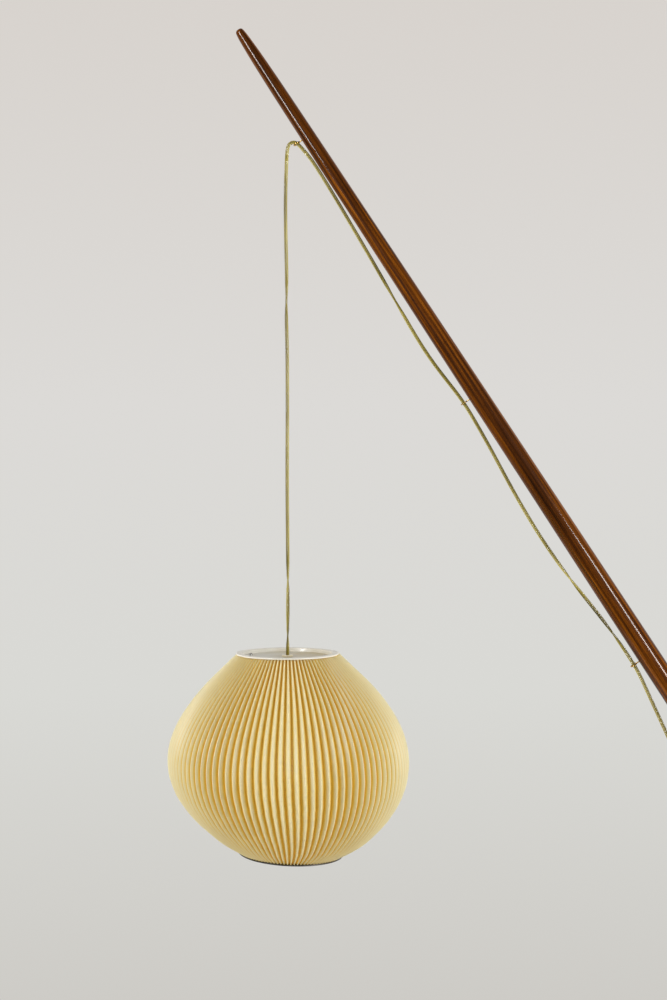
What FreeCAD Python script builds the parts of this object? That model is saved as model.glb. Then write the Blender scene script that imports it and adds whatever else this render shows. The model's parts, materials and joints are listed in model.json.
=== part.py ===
import FreeCAD, Part
import Sketcher
import math
import os

from FreeCAD import Placement, Rotation, Vector

# Tension pole lamp: a wooden pole is clamped between floor and ceiling by a sprung plunger.
# A collar on the pole carries a swivel bracket, and the bracket carries a long tapered arm
# that leans up and away. A flat cord runs through screw eyes under the arm, over the last
# eye, and straight down to a pleated shade that hangs from it.
#
# Frame: millimetres, +Z up, origin on the floor at the centre of the pole. The arm leans
# towards -X. The arm and the cord lie in the plane Y = 0, and -Y is the side seen.

SIZES = {
    # room and pole
    "ceiling_height": 2440.0,
    "pole_radius": 17.0,
    "pad_radius": 24.0,
    "pad_height": 8.0,
    "foot_radius": 21.0,
    "foot_length": 36.0,
    "foot_floor": 3.0,
    "lower_joint": 780.0,
    "upper_joint": 1550.0,
    "spigot_radius": 14.0,
    "joint_ferrule_length": 12.0,
    "stud_radius": 5.0,
    "stud_length": 48.0,
    "wood_fit": 0.1,
    "running_gap": 0.3,
    # sprung plunger at the ceiling
    "plunger_reach": 110.0,
    "tube_radius": 11.0,
    "tube_bore": 9.5,
    "tube_length": 160.0,
    "nut_height": 12.0,
    "nut_spigot": 12.0,
    "rod_radius": 6.0,
    "rod_fit": 0.1,
    "piston_height": 12.0,
    "stub_radius": 4.0,
    "stub_length": 40.0,
    "spring_wire": 1.6,
    "spring_turns": 20.0,
    "cup_radius": 23.0,
    "cup_height": 28.0,
    "cup_hub": 11.0,
    "cup_socket": 16.0,
    "ceiling_pad_radius": 25.0,
    "ceiling_pad_height": 8.0,
    # collar and swivel bracket
    "collar_bottom": 990.0,
    "collar_radius": 23.0,
    "collar_height": 28.0,
    "washer_radius": 22.0,
    "washer_height": 2.0,
    "screw_radius": 3.0,
    "screw_head_radius": 8.0,
    "screw_head_length": 10.0,
    "screw_stand": 4.0,
    "thread_fit": 0.08,
    "sleeve_radius": 21.5,
    "sleeve_height": 90.0,
    "pivot_reach": 48.0,
    "pivot_rise": 61.7,
    "ear_radius": 14.0,
    "ear_inside": 7.0,
    "ear_thickness": 5.0,
    "bolt_radius": 4.0,
    "bolt_head_radius": 7.0,
    "bolt_head_height": 5.0,
    "bolt_fit": 0.05,
    "knob_radius": 13.0,
    "knob_length": 14.0,
    "knob_bore_depth": 12.0,
    "knob_neck_radius": 9.0,
    "knob_neck_length": 3.0,
    "tilt_washer_radius": 11.0,
    "tilt_washer_height": 1.0,
    # arm
    "arm_lean": 33.25,
    "arm_reach": 1292.0,
    "tongue_radius": 13.0,
    "tongue_width": 22.0,
    "ferrule_start": 31.0,
    "ferrule_floor": 4.0,
    "ferrule_length": 36.0,
    "ferrule_radius": 18.6,
    "tenon_radius": 6.0,
    "tenon_length": 40.0,
    "arm_butt_radius": 16.75,
    "arm_middle_radius": 13.8,
    "arm_middle": 684.0,
    "arm_neck_radius": 9.9,
    "arm_neck": 124.0,
    "arm_shoulder_radius": 8.6,
    "arm_shoulder": 45.0,
    "arm_tip_radius": 5.9,
    "arm_tip_edge": 2.4,
    # screw eyes, measured from the free tip of the arm
    "eye_first": 179.0,
    "eye_second": 614.0,
    "eye_third": 1054.0,
    "eye_wire": 1.7,
    "eye_root": 1.5,
    "eye_ring_outer": 10.8,
    "eye_stand": 8.9,
    "eye_shank_depth": 12.0,
    "sleeve_eye_depth": 3.6,
    "eye_shank_fit": 0.05,
    "sleeve_eye_rise": 11.7,
    "pole_eye_upper": 660.0,
    "pole_eye_lower": 110.0,
    # hanging shade
    "hang_offset": 12.94,
    "hang_drop": 717.4,
    "dish_radius": 72.5,
    "dish_foot_radius": 64.5,
    "dish_flange": 10.0,
    "dish_depth": 5.0,
    "dish_floor": 2.2,
    "dish_screw_circle": 54.0,
    "dish_screw_turn": 13.0,
    "dish_screw_radius": 1.5,
    "dish_screw_head": 3.0,
    "dish_screw_head_height": 3.0,
    "screw_fit": 0.05,
    "foil_gap": 0.5,
    "foil_height": 277.1,
    "foil_top_radius": 74.0,
    "foil_bottom_radius": 74.5,
    "foil_radius": 169.6,
    "pleat_side": 7.6,
    "foil_thickness": 0.5,
    "lip_height": 7.5,
    "lip_spread": 6.6,
    "lip_thickness": 1.6,
    "lip_plate": 2.5,
    "lip_bore": 46.0,
    "hoop_radius": 74.0,
    "hoop_bore": 63.5,
    "hoop_height": 1.8,
    # lampholder and bulb
    "grip_radius": 5.0,
    "grip_flange_radius": 7.5,
    "grip_flange_height": 2.0,
    "grip_length": 12.2,
    "grip_socket": 8.0,
    "grip_wire_bore": 2.0,
    "holder_radius": 19.5,
    "holder_wall": 2.0,
    "cap_height": 24.0,
    "cap_crown_radius": 12.0,
    "cap_skirt": 10.0,
    "skirt_length": 38.0,
    "insert_height": 12.0,
    "insert_drop": 1.5,
    "thread_radius": 14.6,
    "thread_wall": 0.6,
    "thread_length": 24.0,
    "contact_radius": 4.0,
    "contact_height": 1.2,
    "bulb_cap_radius": 13.1,
    "bulb_cap_length": 20.0,
    "bulb_cone_height": 3.5,
    "bulb_button_radius": 4.0,
    "bulb_button_height": 1.2,
    "bulb_radius": 30.0,
    "bulb_length": 105.0,
    "bulb_wall": 0.8,
    # flat twin cord, as a round tube of its width
    "cord_width": 5.0,
    "floor_clearance": 0.1,
    "coil_centre_x": -350.0,
    "coil_centre_y": -32.0,
    "coil_inner": 30.0,
    "coil_pitch": 5.6,
    "coil_bottom": 1.3,
    "tie_thickness": 1.0,
    "tie_width": 4.0,
    "tie_gap": 0.3,
    # switch on the cord and plug, lying on the floor
    "switch_length": 64.0,
    "switch_width": 26.0,
    "switch_base_height": 8.5,
    "switch_cover_height": 8.5,
    "switch_wall": 1.8,
    "switch_near_x": 158.0,
    "switch_y": -6.0,
    "rocker_length": 21.0,
    "rocker_width": 13.0,
    "rocker_tilt": 7.0,
    "rocker_proud": 2.2,
    "rocker_fit": 0.3,
    "rocker_axle": 1.5,
    "switch_screw_radius": 1.4,
    "switch_screw_head": 2.6,
    "switch_screw_inset": 8.0,
    "plug_near_x": 458.0,
    "plug_length": 36.0,
    "plug_width": 26.0,
    "plug_height": 14.0,
    "pin_radius": 2.0,
    "pin_length": 19.0,
    "pin_root_radius": 1.6,
    "pin_root_length": 8.0,
    "pin_spacing": 18.6,
}

# Counts that shape the foil: pleats all round, the strips that carry them side by side,
# and the bands that each strip is cut into, one above the other.
PLEATS = 100
STRIPS = 10
BANDS = 4

# The foil's swelling between its two ends: the share of the height down from the dish,
# and the share of the full swelling reached there.
FOIL_SWELL = (
    (0.0, 0.0),
    (0.077, 0.232),
    (0.136, 0.408),
    (0.214, 0.61),
    (0.313, 0.809),
    (0.411, 0.941),
    (0.509, 0.998),
    (0.607, 0.98),
    (0.705, 0.885),
    (0.804, 0.701),
    (0.882, 0.486),
    (0.941, 0.285),
    (1.0, 0.0),
)

doc = FreeCAD.newDocument("TensionPoleLamp")
sheet = doc.addObject("Spreadsheet::Sheet", "Sizes")
for row, (alias, number) in enumerate(SIZES.items(), start=1):
    sheet.set(f"A{row}", alias)
    sheet.set(f"B{row}", str(number))
    sheet.setAlias(f"B{row}", alias)
doc.recompute()


class Size:
    """A length that keeps its number and the sheet expression it comes from."""

    def __init__(self, number, text):
        self.number = number
        self.text = text

    def __float__(self):
        return float(self.number)

    def __add__(self, other):
        return Size(float(self) + float(other), f"({self.text} + {text_of(other)})")

    def __radd__(self, other):
        return Size(float(other) + float(self), f"({text_of(other)} + {self.text})")

    def __sub__(self, other):
        return Size(float(self) - float(other), f"({self.text} - {text_of(other)})")

    def __rsub__(self, other):
        return Size(float(other) - float(self), f"({text_of(other)} - {self.text})")

    def __mul__(self, other):
        return Size(float(self) * float(other), f"({self.text} * {text_of(other)})")

    def __rmul__(self, other):
        return Size(float(other) * float(self), f"({text_of(other)} * {self.text})")

    def __truediv__(self, other):
        return Size(float(self) / float(other), f"({self.text} / {text_of(other)})")

    def __neg__(self):
        return Size(-float(self), f"(0 - {self.text})")


def text_of(value):
    """The expression text of a Size or of a plain number."""
    if isinstance(value, Size):
        return value.text
    return repr(float(value))


class SheetSizes:
    """Each alias of the sheet as a Size, such as size.pole_radius."""

    def __getattr__(self, alias):
        return Size(sheet.get(alias), f"Sizes.{alias}")


size = SheetSizes()
subparts = []


def named(piece, label):
    """Give a finished sub-part its own Label and put it on the list that is written."""
    piece.Label = label
    subparts.append(piece)
    return piece


def bind(piece, prop, value):
    """Drive one property of a document object from the sheet."""
    piece.setExpression(prop, text_of(value))


def place(piece, x=0.0, y=0.0, z=0.0, rotation=None):
    """Set an object's placement, with its base driven from the sheet."""
    piece.Placement = Placement(Vector(float(x), float(y), float(z)), rotation or Rotation())
    for axis, value in (("x", x), ("y", y), ("z", z)):
        if isinstance(value, Size):
            bind(piece, f"Placement.Base.{axis}", value)
    return piece


ALONG_X = Rotation(Vector(0, 1, 0), 90)
ALONG_Y = Rotation(Vector(1, 0, 0), -90)
ALONG_MINUS_Y = Rotation(Vector(1, 0, 0), 90)
ALONG_MINUS_X = Rotation(Vector(0, 1, 0), -90)


def cylinder(name, radius, height, x=0.0, y=0.0, z=0.0, rotation=None):
    piece = doc.addObject("Part::Cylinder", name)
    bind(piece, "Radius", radius)
    bind(piece, "Height", height)
    return place(piece, x, y, z, rotation)


def box(name, length, width, height, x=0.0, y=0.0, z=0.0):
    piece = doc.addObject("Part::Box", name)
    bind(piece, "Length", length)
    bind(piece, "Width", width)
    bind(piece, "Height", height)
    return place(piece, x, y, z)


def cone(name, base_radius, top_radius, height, x=0.0, y=0.0, z=0.0, rotation=None):
    piece = doc.addObject("Part::Cone", name)
    bind(piece, "Radius1", base_radius)
    bind(piece, "Radius2", top_radius)
    bind(piece, "Height", height)
    return place(piece, x, y, z, rotation)


def fuse(name, pieces):
    joined = doc.addObject("Part::MultiFuse", name)
    joined.Shapes = pieces
    return joined


def group(name, pieces):
    """Separate solids that share one node."""
    gathered = doc.addObject("Part::Compound", name)
    gathered.Links = pieces
    return gathered


def cut(name, base, tools):
    result = doc.addObject("Part::Cut", name)
    result.Base = base
    result.Tool = tools[0] if len(tools) == 1 else fuse(name + "_tools", tools)
    return result


def turned(name, outline, x=0.0, y=0.0, z=0.0, rotation=None):
    """A lathe-turned piece: a closed outline of (radius, height) corners swept round Z."""
    body = doc.addObject("PartDesign::Body", name)
    sketch = body.newObject("Sketcher::SketchObject", name + "_outline")
    plane = [item for item in body.Origin.OriginFeatures if item.Role == "XZ_Plane"][0]
    sketch.AttachmentSupport = [(plane, "")]
    sketch.MapMode = "FlatFace"
    corners = [Vector(float(radius), float(height), 0) for radius, height in outline]
    count = len(corners)
    for index in range(count):
        following = corners[(index + 1) % count]
        sketch.addGeometry(Part.LineSegment(corners[index], following))
    for index in range(count):
        sketch.addConstraint(Sketcher.Constraint("Coincident", index, 2, (index + 1) % count, 1))
    for index, (radius, height) in enumerate(outline):
        hold_corner(sketch, index, "DistanceX", radius, -2)
        hold_corner(sketch, index, "DistanceY", height, -1)
    revolution = body.newObject("PartDesign::Revolution", name + "_turning")
    revolution.Profile = sketch
    revolution.ReferenceAxis = (sketch, ["V_Axis"])
    revolution.Angle = 360
    sketch.Visibility = False
    return place(body, x, y, z, rotation)


def hold_corner(sketch, index, kind, value, axis):
    """Fix one coordinate of a sketch corner, on the axis or at a distance from the origin."""
    if not isinstance(value, Size) and value == 0:
        sketch.addConstraint(Sketcher.Constraint("PointOnObject", index, 1, axis))
        return
    datum = sketch.addConstraint(Sketcher.Constraint(kind, -1, 1, index, 1, float(value)))
    bind(sketch, f"Constraints[{datum}]", value)


def ring(name, outer, inner, height, x=0.0, y=0.0, z=0.0, rotation=None):
    """A flat ring or a straight sleeve."""
    outline = ((inner, 0), (outer, 0), (outer, height), (inner, height))
    return turned(name, outline, x, y, z, rotation)


def formed(name, shape, placement=None):
    """A piece whose shape is worked out here, from sizes read off the sheet."""
    piece = doc.addObject("Part::Feature", name)
    piece.Shape = shape
    piece.Placement = placement or Placement()
    return piece


# ---------------------------------------------------------------------------------------
# Pole: three teak sections with flush brass ferrules, joined by hidden studs.

pole = size.pole_radius
foot_top = size.pad_height + size.foot_floor
pole_top = size.ceiling_height - size.plunger_reach
stud_bore = size.stud_radius + size.wood_fit
stud_depth = size.stud_length / 2 + 1
wall_bore = pole + size.running_gap


def section_end(outline_radius, length, bottom):
    """Corners of one jointed end: the turned-down spigot and the stud's bore."""
    spigot = size.spigot_radius
    ferrule = size.joint_ferrule_length
    if bottom:
        return (
            (0, stud_depth),
            (stud_bore, stud_depth),
            (stud_bore, 0),
            (spigot, 0),
            (spigot, ferrule),
            (outline_radius, ferrule),
        )
    return (
        (outline_radius, length - ferrule),
        (spigot, length - ferrule),
        (spigot, length),
        (stud_bore, length),
        (stud_bore, length - stud_depth),
        (0, length - stud_depth),
    )


pad_groove = size.pad_height / 2
pad_outline = (
    (0, 0),
    (size.pad_radius - 1.5, 0),
    (size.pad_radius, 1.5),
    (size.pad_radius, pad_groove),
    (size.foot_radius, size.pad_height),
    (0, size.pad_height),
)
named(turned("FloorPad", pad_outline), "floor_pad")

foot_edge = 1.5
foot_outline = (
    (0, 0),
    (size.foot_radius, 0),
    (size.foot_radius, size.foot_length - foot_edge),
    (size.foot_radius - foot_edge, size.foot_length),
    (pole + size.wood_fit, size.foot_length),
    (pole + size.wood_fit, size.foot_floor),
    (0, size.foot_floor),
)
named(turned("FootFerrule", foot_outline, z=size.pad_height), "foot_ferrule")

lower_length = size.lower_joint - foot_top
lower_outline = ((0, 0), (pole, 0)) + section_end(pole, lower_length, bottom=False)
lower_wood = turned("LowerWood", lower_outline, z=foot_top)

eye_shank = size.eye_root / 2
eye_bore = eye_shank + size.eye_shank_fit
pilot_holes = [
    cylinder(
        "LowerEyeHole",
        eye_bore,
        size.eye_shank_depth + 1,
        x=-pole + size.eye_shank_depth,
        z=height,
        rotation=ALONG_MINUS_X,
    )
    for height in (size.pole_eye_upper, size.pole_eye_lower)
]
named(cut("LowerPole", lower_wood, pilot_holes), "lower_pole")

middle_length = size.upper_joint - size.lower_joint
middle_outline = section_end(pole, middle_length, bottom=True)
middle_outline += section_end(pole, middle_length, bottom=False)
named(turned("MiddlePole", middle_outline, z=size.lower_joint), "middle_pole")

upper_length = pole_top - size.upper_joint
tube_hole = size.tube_radius + size.wood_fit
upper_outline = section_end(pole, upper_length, bottom=True) + (
    (pole, upper_length),
    (tube_hole, upper_length),
    (tube_hole, upper_length - size.tube_length),
    (0, upper_length - size.tube_length),
)
named(turned("UpperPole", upper_outline, z=size.upper_joint), "upper_pole")

ferrules = []
studs = []
for joint, name in ((size.lower_joint, "Lower"), (size.upper_joint, "Upper")):
    ferrule_bore = size.spigot_radius + size.wood_fit
    for start, side in ((joint - size.joint_ferrule_length, "Below"), (joint, "Above")):
        ferrule_name = name + "Ferrule" + side
        sleeve = ring(ferrule_name, pole, ferrule_bore, size.joint_ferrule_length, z=start)
        ferrules.append(sleeve)
    stud_start = joint - size.stud_length / 2
    studs.append(cylinder(name + "Stud", size.stud_radius, size.stud_length, z=stud_start))
named(group("JointFerrules", ferrules), "joint_ferrules")
named(group("JointStuds", studs), "joint_studs")

# ---------------------------------------------------------------------------------------
# Sprung plunger: a piston rod slides in a brass tube let into the top of the pole, and a
# coil spring under the piston presses the ceiling cup up.

tube_floor = pole_top - size.tube_length
named(ring("PlungerTube", size.tube_radius, size.tube_bore, size.tube_length, z=tube_floor), "plunger_tube")

nut_bore = size.rod_radius + size.rod_fit
nut_spigot_radius = size.tube_bore - size.rod_fit
nut_outline = (
    (nut_bore, 0),
    (nut_spigot_radius, 0),
    (nut_spigot_radius, size.nut_spigot),
    (pole, size.nut_spigot),
    (pole, size.nut_spigot + size.nut_height - 3),
    (pole - 4, size.nut_spigot + size.nut_height),
    (nut_bore, size.nut_spigot + size.nut_height),
)
named(turned("PlungerNut", nut_outline, z=pole_top - size.nut_spigot), "plunger_nut")

cup_bottom = size.ceiling_height - size.ceiling_pad_height - size.cup_height
rod_end = cup_bottom + size.cup_socket
piston_top = pole_top - size.nut_spigot - size.running_gap
piston_bottom = piston_top - size.piston_height
rod_base = piston_bottom - size.stub_length
piston_radius = size.tube_bore - size.running_gap
rod_outline = (
    (0, 0),
    (size.stub_radius, 0),
    (size.stub_radius, size.stub_length),
    (piston_radius, size.stub_length),
    (piston_radius, size.stub_length + size.piston_height),
    (size.rod_radius, size.stub_length + size.piston_height),
    (size.rod_radius, rod_end - rod_base),
    (0, rod_end - rod_base),
)
named(turned("PlungerRod", rod_outline, z=rod_base), "plunger_rod")

cup_lip = 6.0
cup_outline = (
    (0, size.cup_socket),
    (size.rod_radius + size.rod_fit, size.cup_socket),
    (size.rod_radius + size.rod_fit, 0),
    (size.cup_hub, 0),
    (size.cup_hub, size.cup_height / 3),
    (size.cup_radius, size.cup_height - cup_lip),
    (size.cup_radius, size.cup_height),
    (0, size.cup_height),
)
named(turned("CeilingCup", cup_outline, z=cup_bottom), "ceiling_cup")

ceiling_pad_edge = 1.5
ceiling_pad_outline = (
    (0, 0),
    (size.cup_radius, 0),
    (size.ceiling_pad_radius, size.ceiling_pad_height / 2),
    (size.ceiling_pad_radius, size.ceiling_pad_height - ceiling_pad_edge),
    (size.ceiling_pad_radius - ceiling_pad_edge, size.ceiling_pad_height),
    (0, size.ceiling_pad_height),
)
pad_seat = size.ceiling_height - size.ceiling_pad_height
named(turned("CeilingPad", ceiling_pad_outline, z=pad_seat), "ceiling_pad")


def biarc(start, start_way, end, end_way):
    """Two arcs that leave start along start_way and reach end along end_way."""
    across = end - start
    ways = start_way + end_way
    spread = 2.0 * (1.0 - start_way.dot(end_way))
    along = across.dot(ways)
    reach = across.Length ** 2
    if spread < 1e-9:
        handle = reach / (2.0 * along)
    else:
        handle = (-along + math.sqrt(along ** 2 + spread * reach)) / spread
    middle = (start + start_way * handle + end - end_way * handle) * 0.5
    return [arc_from(start, start_way, middle), arc_to(middle, end, end_way)]


def arc_from(start, way, end):
    """The arc from start to end that leaves start along way."""
    chord = end - start
    side = (way - chord * (way.dot(chord) / chord.Length ** 2)).normalize()
    angle = way.getAngle(chord)
    rise = 0.5 * chord.Length * math.tan(0.5 * angle)
    return Part.Arc(start, start + chord * 0.5 + side * rise, end).toShape()


def arc_to(start, end, way):
    """The arc from start to end that reaches end along way."""
    chord = end - start
    side = (chord * (way.dot(chord) / chord.Length ** 2) - way).normalize()
    angle = way.getAngle(chord)
    rise = 0.5 * chord.Length * math.tan(0.5 * angle)
    return Part.Arc(start, start + chord * 0.5 + side * rise, end).toShape()


def tube(path, radius):
    """A round tube swept along a wire of tangent edges."""
    first = path.OrderedEdges[0]
    start = path.OrderedVertexes[0].Point
    at_start = first.FirstParameter
    if first.valueAt(at_start).distanceToPoint(start) > 1e-6:
        at_start = first.LastParameter
    profile = Part.Wire(Part.makeCircle(radius, start, first.tangentAt(at_start)))
    shell = path.makePipeShell([profile], True, False)
    solids = shell.Solids
    if len(solids) != 1:
        raise RuntimeError("the tube isn't one solid")
    share = solids[0].Volume / (math.pi * radius ** 2 * path.Length)
    if abs(share - 1.0) > 0.01:
        raise RuntimeError(f"the tube's volume is {share:.3f} of its section times its length")
    return solids[0]


def least_gap(path, diameter, skip):
    """The least gap between a tube's own turns, measured on points along its path."""
    points = path.discretize(Distance=diameter / 2)
    ahead = int(skip / (diameter / 2))
    nearest = min(
        points[i].distanceToPoint(points[j])
        for i in range(0, len(points))
        for j in range(i + ahead, len(points))
    )
    return nearest - diameter


def helix_path(radius, height, turns):
    """A climbing helix as biarcs of a quarter turn each."""
    steps = int(round(turns * 4))
    climb = height / (2 * math.pi * radius * turns)
    points = []
    ways = []
    for step in range(steps + 1):
        angle = step * math.pi / 2
        points.append(Vector(radius * math.cos(angle), radius * math.sin(angle), height * step / steps))
        ways.append(Vector(-math.sin(angle), math.cos(angle), climb).normalize())
    edges = []
    for step in range(steps):
        edges += biarc(points[step], ways[step], points[step + 1], ways[step + 1])
    return Part.Wire(edges)


wire_radius = float(size.spring_wire) / 2
spring_seat = wire_radius + 0.1
spring_radius = float(piston_radius) - wire_radius - 0.3
spring_height = float(piston_bottom - tube_floor) - 2 * spring_seat
spring_path = helix_path(spring_radius, spring_height, float(size.spring_turns))
gap = least_gap(spring_path, 2 * wire_radius, 4 * spring_radius)
print(f"plunger spring: least gap between turns {gap:.2f} mm")
spring_place = Placement(Vector(0, 0, float(tube_floor) + spring_seat), Rotation())
named(formed("PlungerSpring", tube(spring_path, wire_radius), spring_place), "plunger_spring")

# ---------------------------------------------------------------------------------------
# Height collar, clamped by a thumb screw, and the bracket that swivels on top of it.

collar_top = size.collar_bottom + size.collar_height
screw_height = size.collar_bottom + size.collar_height / 2
collar_edge = 1.5
collar_outline = (
    (wall_bore, 0),
    (size.collar_radius - collar_edge, 0),
    (size.collar_radius, collar_edge),
    (size.collar_radius, size.collar_height - collar_edge),
    (size.collar_radius - collar_edge, size.collar_height),
    (wall_bore, size.collar_height),
)
collar_ring = turned("CollarRing", collar_outline, z=size.collar_bottom)
screw_hole = cylinder(
    "CollarScrewHole",
    size.screw_radius + size.thread_fit,
    size.collar_radius,
    x=pole,
    z=screw_height,
    rotation=ALONG_X,
)
named(cut("HeightCollar", collar_ring, [screw_hole]), "height_collar")

screw_tip = wall_bore
screw_reach = size.collar_radius + size.screw_stand - screw_tip
head_edge = 1.0
collar_screw_outline = (
    (0, 0),
    (size.screw_radius, 0),
    (size.screw_radius, screw_reach),
    (size.screw_head_radius - head_edge, screw_reach),
    (size.screw_head_radius, screw_reach + head_edge),
    (size.screw_head_radius, screw_reach + size.screw_head_length - head_edge),
    (size.screw_head_radius - head_edge, screw_reach + size.screw_head_length),
    (0, screw_reach + size.screw_head_length),
)
collar_screw = turned("CollarScrew", collar_screw_outline, x=screw_tip, z=screw_height, rotation=ALONG_X)
named(collar_screw, "collar_screw")

named(ring("SwivelWasher", size.washer_radius, wall_bore, size.washer_height, z=collar_top), "swivel_washer")

sleeve_bottom = collar_top + size.washer_height + size.running_gap
pivot_z = sleeve_bottom + size.pivot_rise
pivot_x = -size.pivot_reach
ear_outside = size.ear_inside + size.ear_thickness
ear_bore = size.bolt_radius + size.bolt_fit
ear_root = size.pivot_reach - pole - 2
bracket_solids = [cylinder("BracketSleeve", size.sleeve_radius, size.sleeve_height, z=sleeve_bottom)]
for side, start in (("Front", -ear_outside), ("Back", size.ear_inside)):
    eye = cylinder(side + "EarEye", size.ear_radius, size.ear_thickness, pivot_x, start, pivot_z, ALONG_Y)
    plate = box(
        side + "EarPlate",
        ear_root,
        size.ear_thickness,
        2 * size.ear_radius,
        x=pivot_x,
        y=start,
        z=pivot_z - size.ear_radius,
    )
    bracket_solids += [eye, plate]
bracket_body = fuse("BracketCasting", bracket_solids)
eye_height = sleeve_bottom + size.sleeve_eye_rise
bracket_tools = [
    cylinder("SleeveBore", wall_bore, size.sleeve_height + 2, z=sleeve_bottom - 1),
    cylinder("EarBore", ear_bore, 2 * ear_outside + 2, pivot_x, -ear_outside - 1, pivot_z, ALONG_Y),
    cylinder("SleeveEyeHole", eye_bore, size.sleeve_radius, x=-pole, z=eye_height, rotation=ALONG_MINUS_X),
]
named(cut("SwivelBracket", bracket_body, bracket_tools), "swivel_bracket")

knob_start = -(ear_outside + size.running_gap)
bolt_end = -knob_start + size.knob_bore_depth - size.running_gap
bolt_length = bolt_end + ear_outside
bolt_outline = (
    (0, 0),
    (size.bolt_radius, 0),
    (size.bolt_radius, bolt_length),
    (size.bolt_head_radius, bolt_length),
    (size.bolt_head_radius, bolt_length + size.bolt_head_height / 2),
    (size.bolt_radius, bolt_length + size.bolt_head_height),
    (0, bolt_length + size.bolt_head_height),
)
named(turned("PivotBolt", bolt_outline, pivot_x, -bolt_end, pivot_z, ALONG_Y), "pivot_bolt")

knob_edge = 2.0
knob_outline = (
    (ear_bore, 0),
    (size.knob_neck_radius, 0),
    (size.knob_neck_radius, size.knob_neck_length),
    (size.knob_radius, size.knob_neck_length),
    (size.knob_radius, size.knob_length - knob_edge),
    (size.knob_radius - knob_edge, size.knob_length),
    (0, size.knob_length),
    (0, size.knob_bore_depth),
    (ear_bore, size.knob_bore_depth),
)
named(turned("TiltKnob", knob_outline, pivot_x, knob_start, pivot_z, ALONG_MINUS_Y), "tilt_knob")

washer_starts = (size.ear_inside - size.tilt_washer_height, -size.ear_inside)
tilt_washers = [
    ring(
        "TiltWasher",
        size.tilt_washer_radius,
        ear_bore,
        size.tilt_washer_height,
        pivot_x,
        start,
        pivot_z,
        ALONG_Y,
    )
    for start in washer_starts
]
named(group("TiltWashers", tilt_washers), "tilt_washers")

# ---------------------------------------------------------------------------------------
# Arm: its own axis is Z from the pivot to the free tip, and its underside faces -X. The
# whole arm is then leaned over about the pivot.

lean = Rotation(Vector(0, 1, 0), -float(size.arm_lean))


def on_arm(piece):
    """Lean a finished arm piece over, about the pivot."""
    return place(piece, pivot_x, 0.0, pivot_z, lean)


tongue_half = size.ear_inside - size.tilt_washer_height - size.running_gap
tenon_end = size.ferrule_start + size.tenon_length
tongue_blank = fuse(
    "TongueBlank",
    [
        cylinder("TongueEye", size.tongue_radius, 2 * tongue_half, 0.0, -tongue_half, 0.0, ALONG_Y),
        box(
            "TongueFlat",
            size.tongue_width,
            2 * tongue_half,
            size.ferrule_start,
            x=-size.tongue_width / 2,
            y=-tongue_half,
        ),
        cylinder("Tenon", size.tenon_radius, size.tenon_length, z=size.ferrule_start),
    ],
)
tongue_hole = cylinder("TongueHole", ear_bore, 2 * tongue_half + 2, 0.0, -tongue_half - 1, 0.0, ALONG_Y)
named(on_arm(cut("ArmTongue", tongue_blank, [tongue_hole])), "arm_tongue")

butt_start = size.ferrule_start + size.ferrule_floor
tenon_bore = size.tenon_radius + size.wood_fit
ferrule_bore = size.arm_butt_radius + size.wood_fit
arm_ferrule_edge = 2.0
ferrule_outline = (
    (tenon_bore, 0),
    (size.ferrule_radius - arm_ferrule_edge, 0),
    (size.ferrule_radius, arm_ferrule_edge),
    (size.ferrule_radius, size.ferrule_length - 1),
    (size.ferrule_radius - 1, size.ferrule_length),
    (ferrule_bore, size.ferrule_length),
    (ferrule_bore, size.ferrule_floor),
    (tenon_bore, size.ferrule_floor),
)
ferrule = turned("ArmFerrule", ferrule_outline)
ferrule_lift = Vector(0, 0, float(size.ferrule_start))
ferrule.Placement = Placement(Vector(float(pivot_x), 0, float(pivot_z)) + lean.multVec(ferrule_lift), lean)
named(ferrule, "arm_ferrule")

tip_flat = size.arm_tip_radius - size.arm_tip_edge
wood_outline = (
    (0, tenon_end + 1),
    (tenon_bore, tenon_end + 1),
    (tenon_bore, butt_start),
    (size.arm_butt_radius, butt_start),
    (size.arm_middle_radius, size.arm_reach - size.arm_middle),
    (size.arm_neck_radius, size.arm_reach - size.arm_neck),
    (size.arm_shoulder_radius, size.arm_reach - size.arm_shoulder),
    (size.arm_tip_radius, size.arm_reach - size.arm_tip_edge),
    (tip_flat, size.arm_reach),
    (0, size.arm_reach),
)
arm_wood = turned("ArmWood", wood_outline)


def wood_radius(from_tip):
    """The arm's radius at a distance from its tip, between the neck and the butt."""
    if float(from_tip) < float(size.arm_middle):
        share = (from_tip - size.arm_neck) / (size.arm_middle - size.arm_neck)
        return size.arm_neck_radius + (size.arm_middle_radius - size.arm_neck_radius) * share
    share = (from_tip - size.arm_middle) / (size.arm_reach - butt_start - size.arm_middle)
    return size.arm_middle_radius + (size.arm_butt_radius - size.arm_middle_radius) * share


ring_radius = (size.eye_ring_outer - size.eye_wire) / 2


def screw_eye(name, surface, along, shank_depth):
    """A wire eye that stands on a surface at -X: its ring's axis is Z, its shank is X."""
    loop = doc.addObject("Part::Torus", name + "Ring")
    bind(loop, "Radius1", ring_radius)
    bind(loop, "Radius2", size.eye_wire / 2)
    place(loop, -(surface + size.eye_stand), 0.0, along)
    shank_top = surface + size.eye_stand - ring_radius
    shank = cylinder(
        name + "Shank",
        eye_shank,
        shank_top - surface + shank_depth,
        x=-(surface - shank_depth),
        z=along,
        rotation=ALONG_MINUS_X,
    )
    return fuse(name, [loop, shank])


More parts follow.
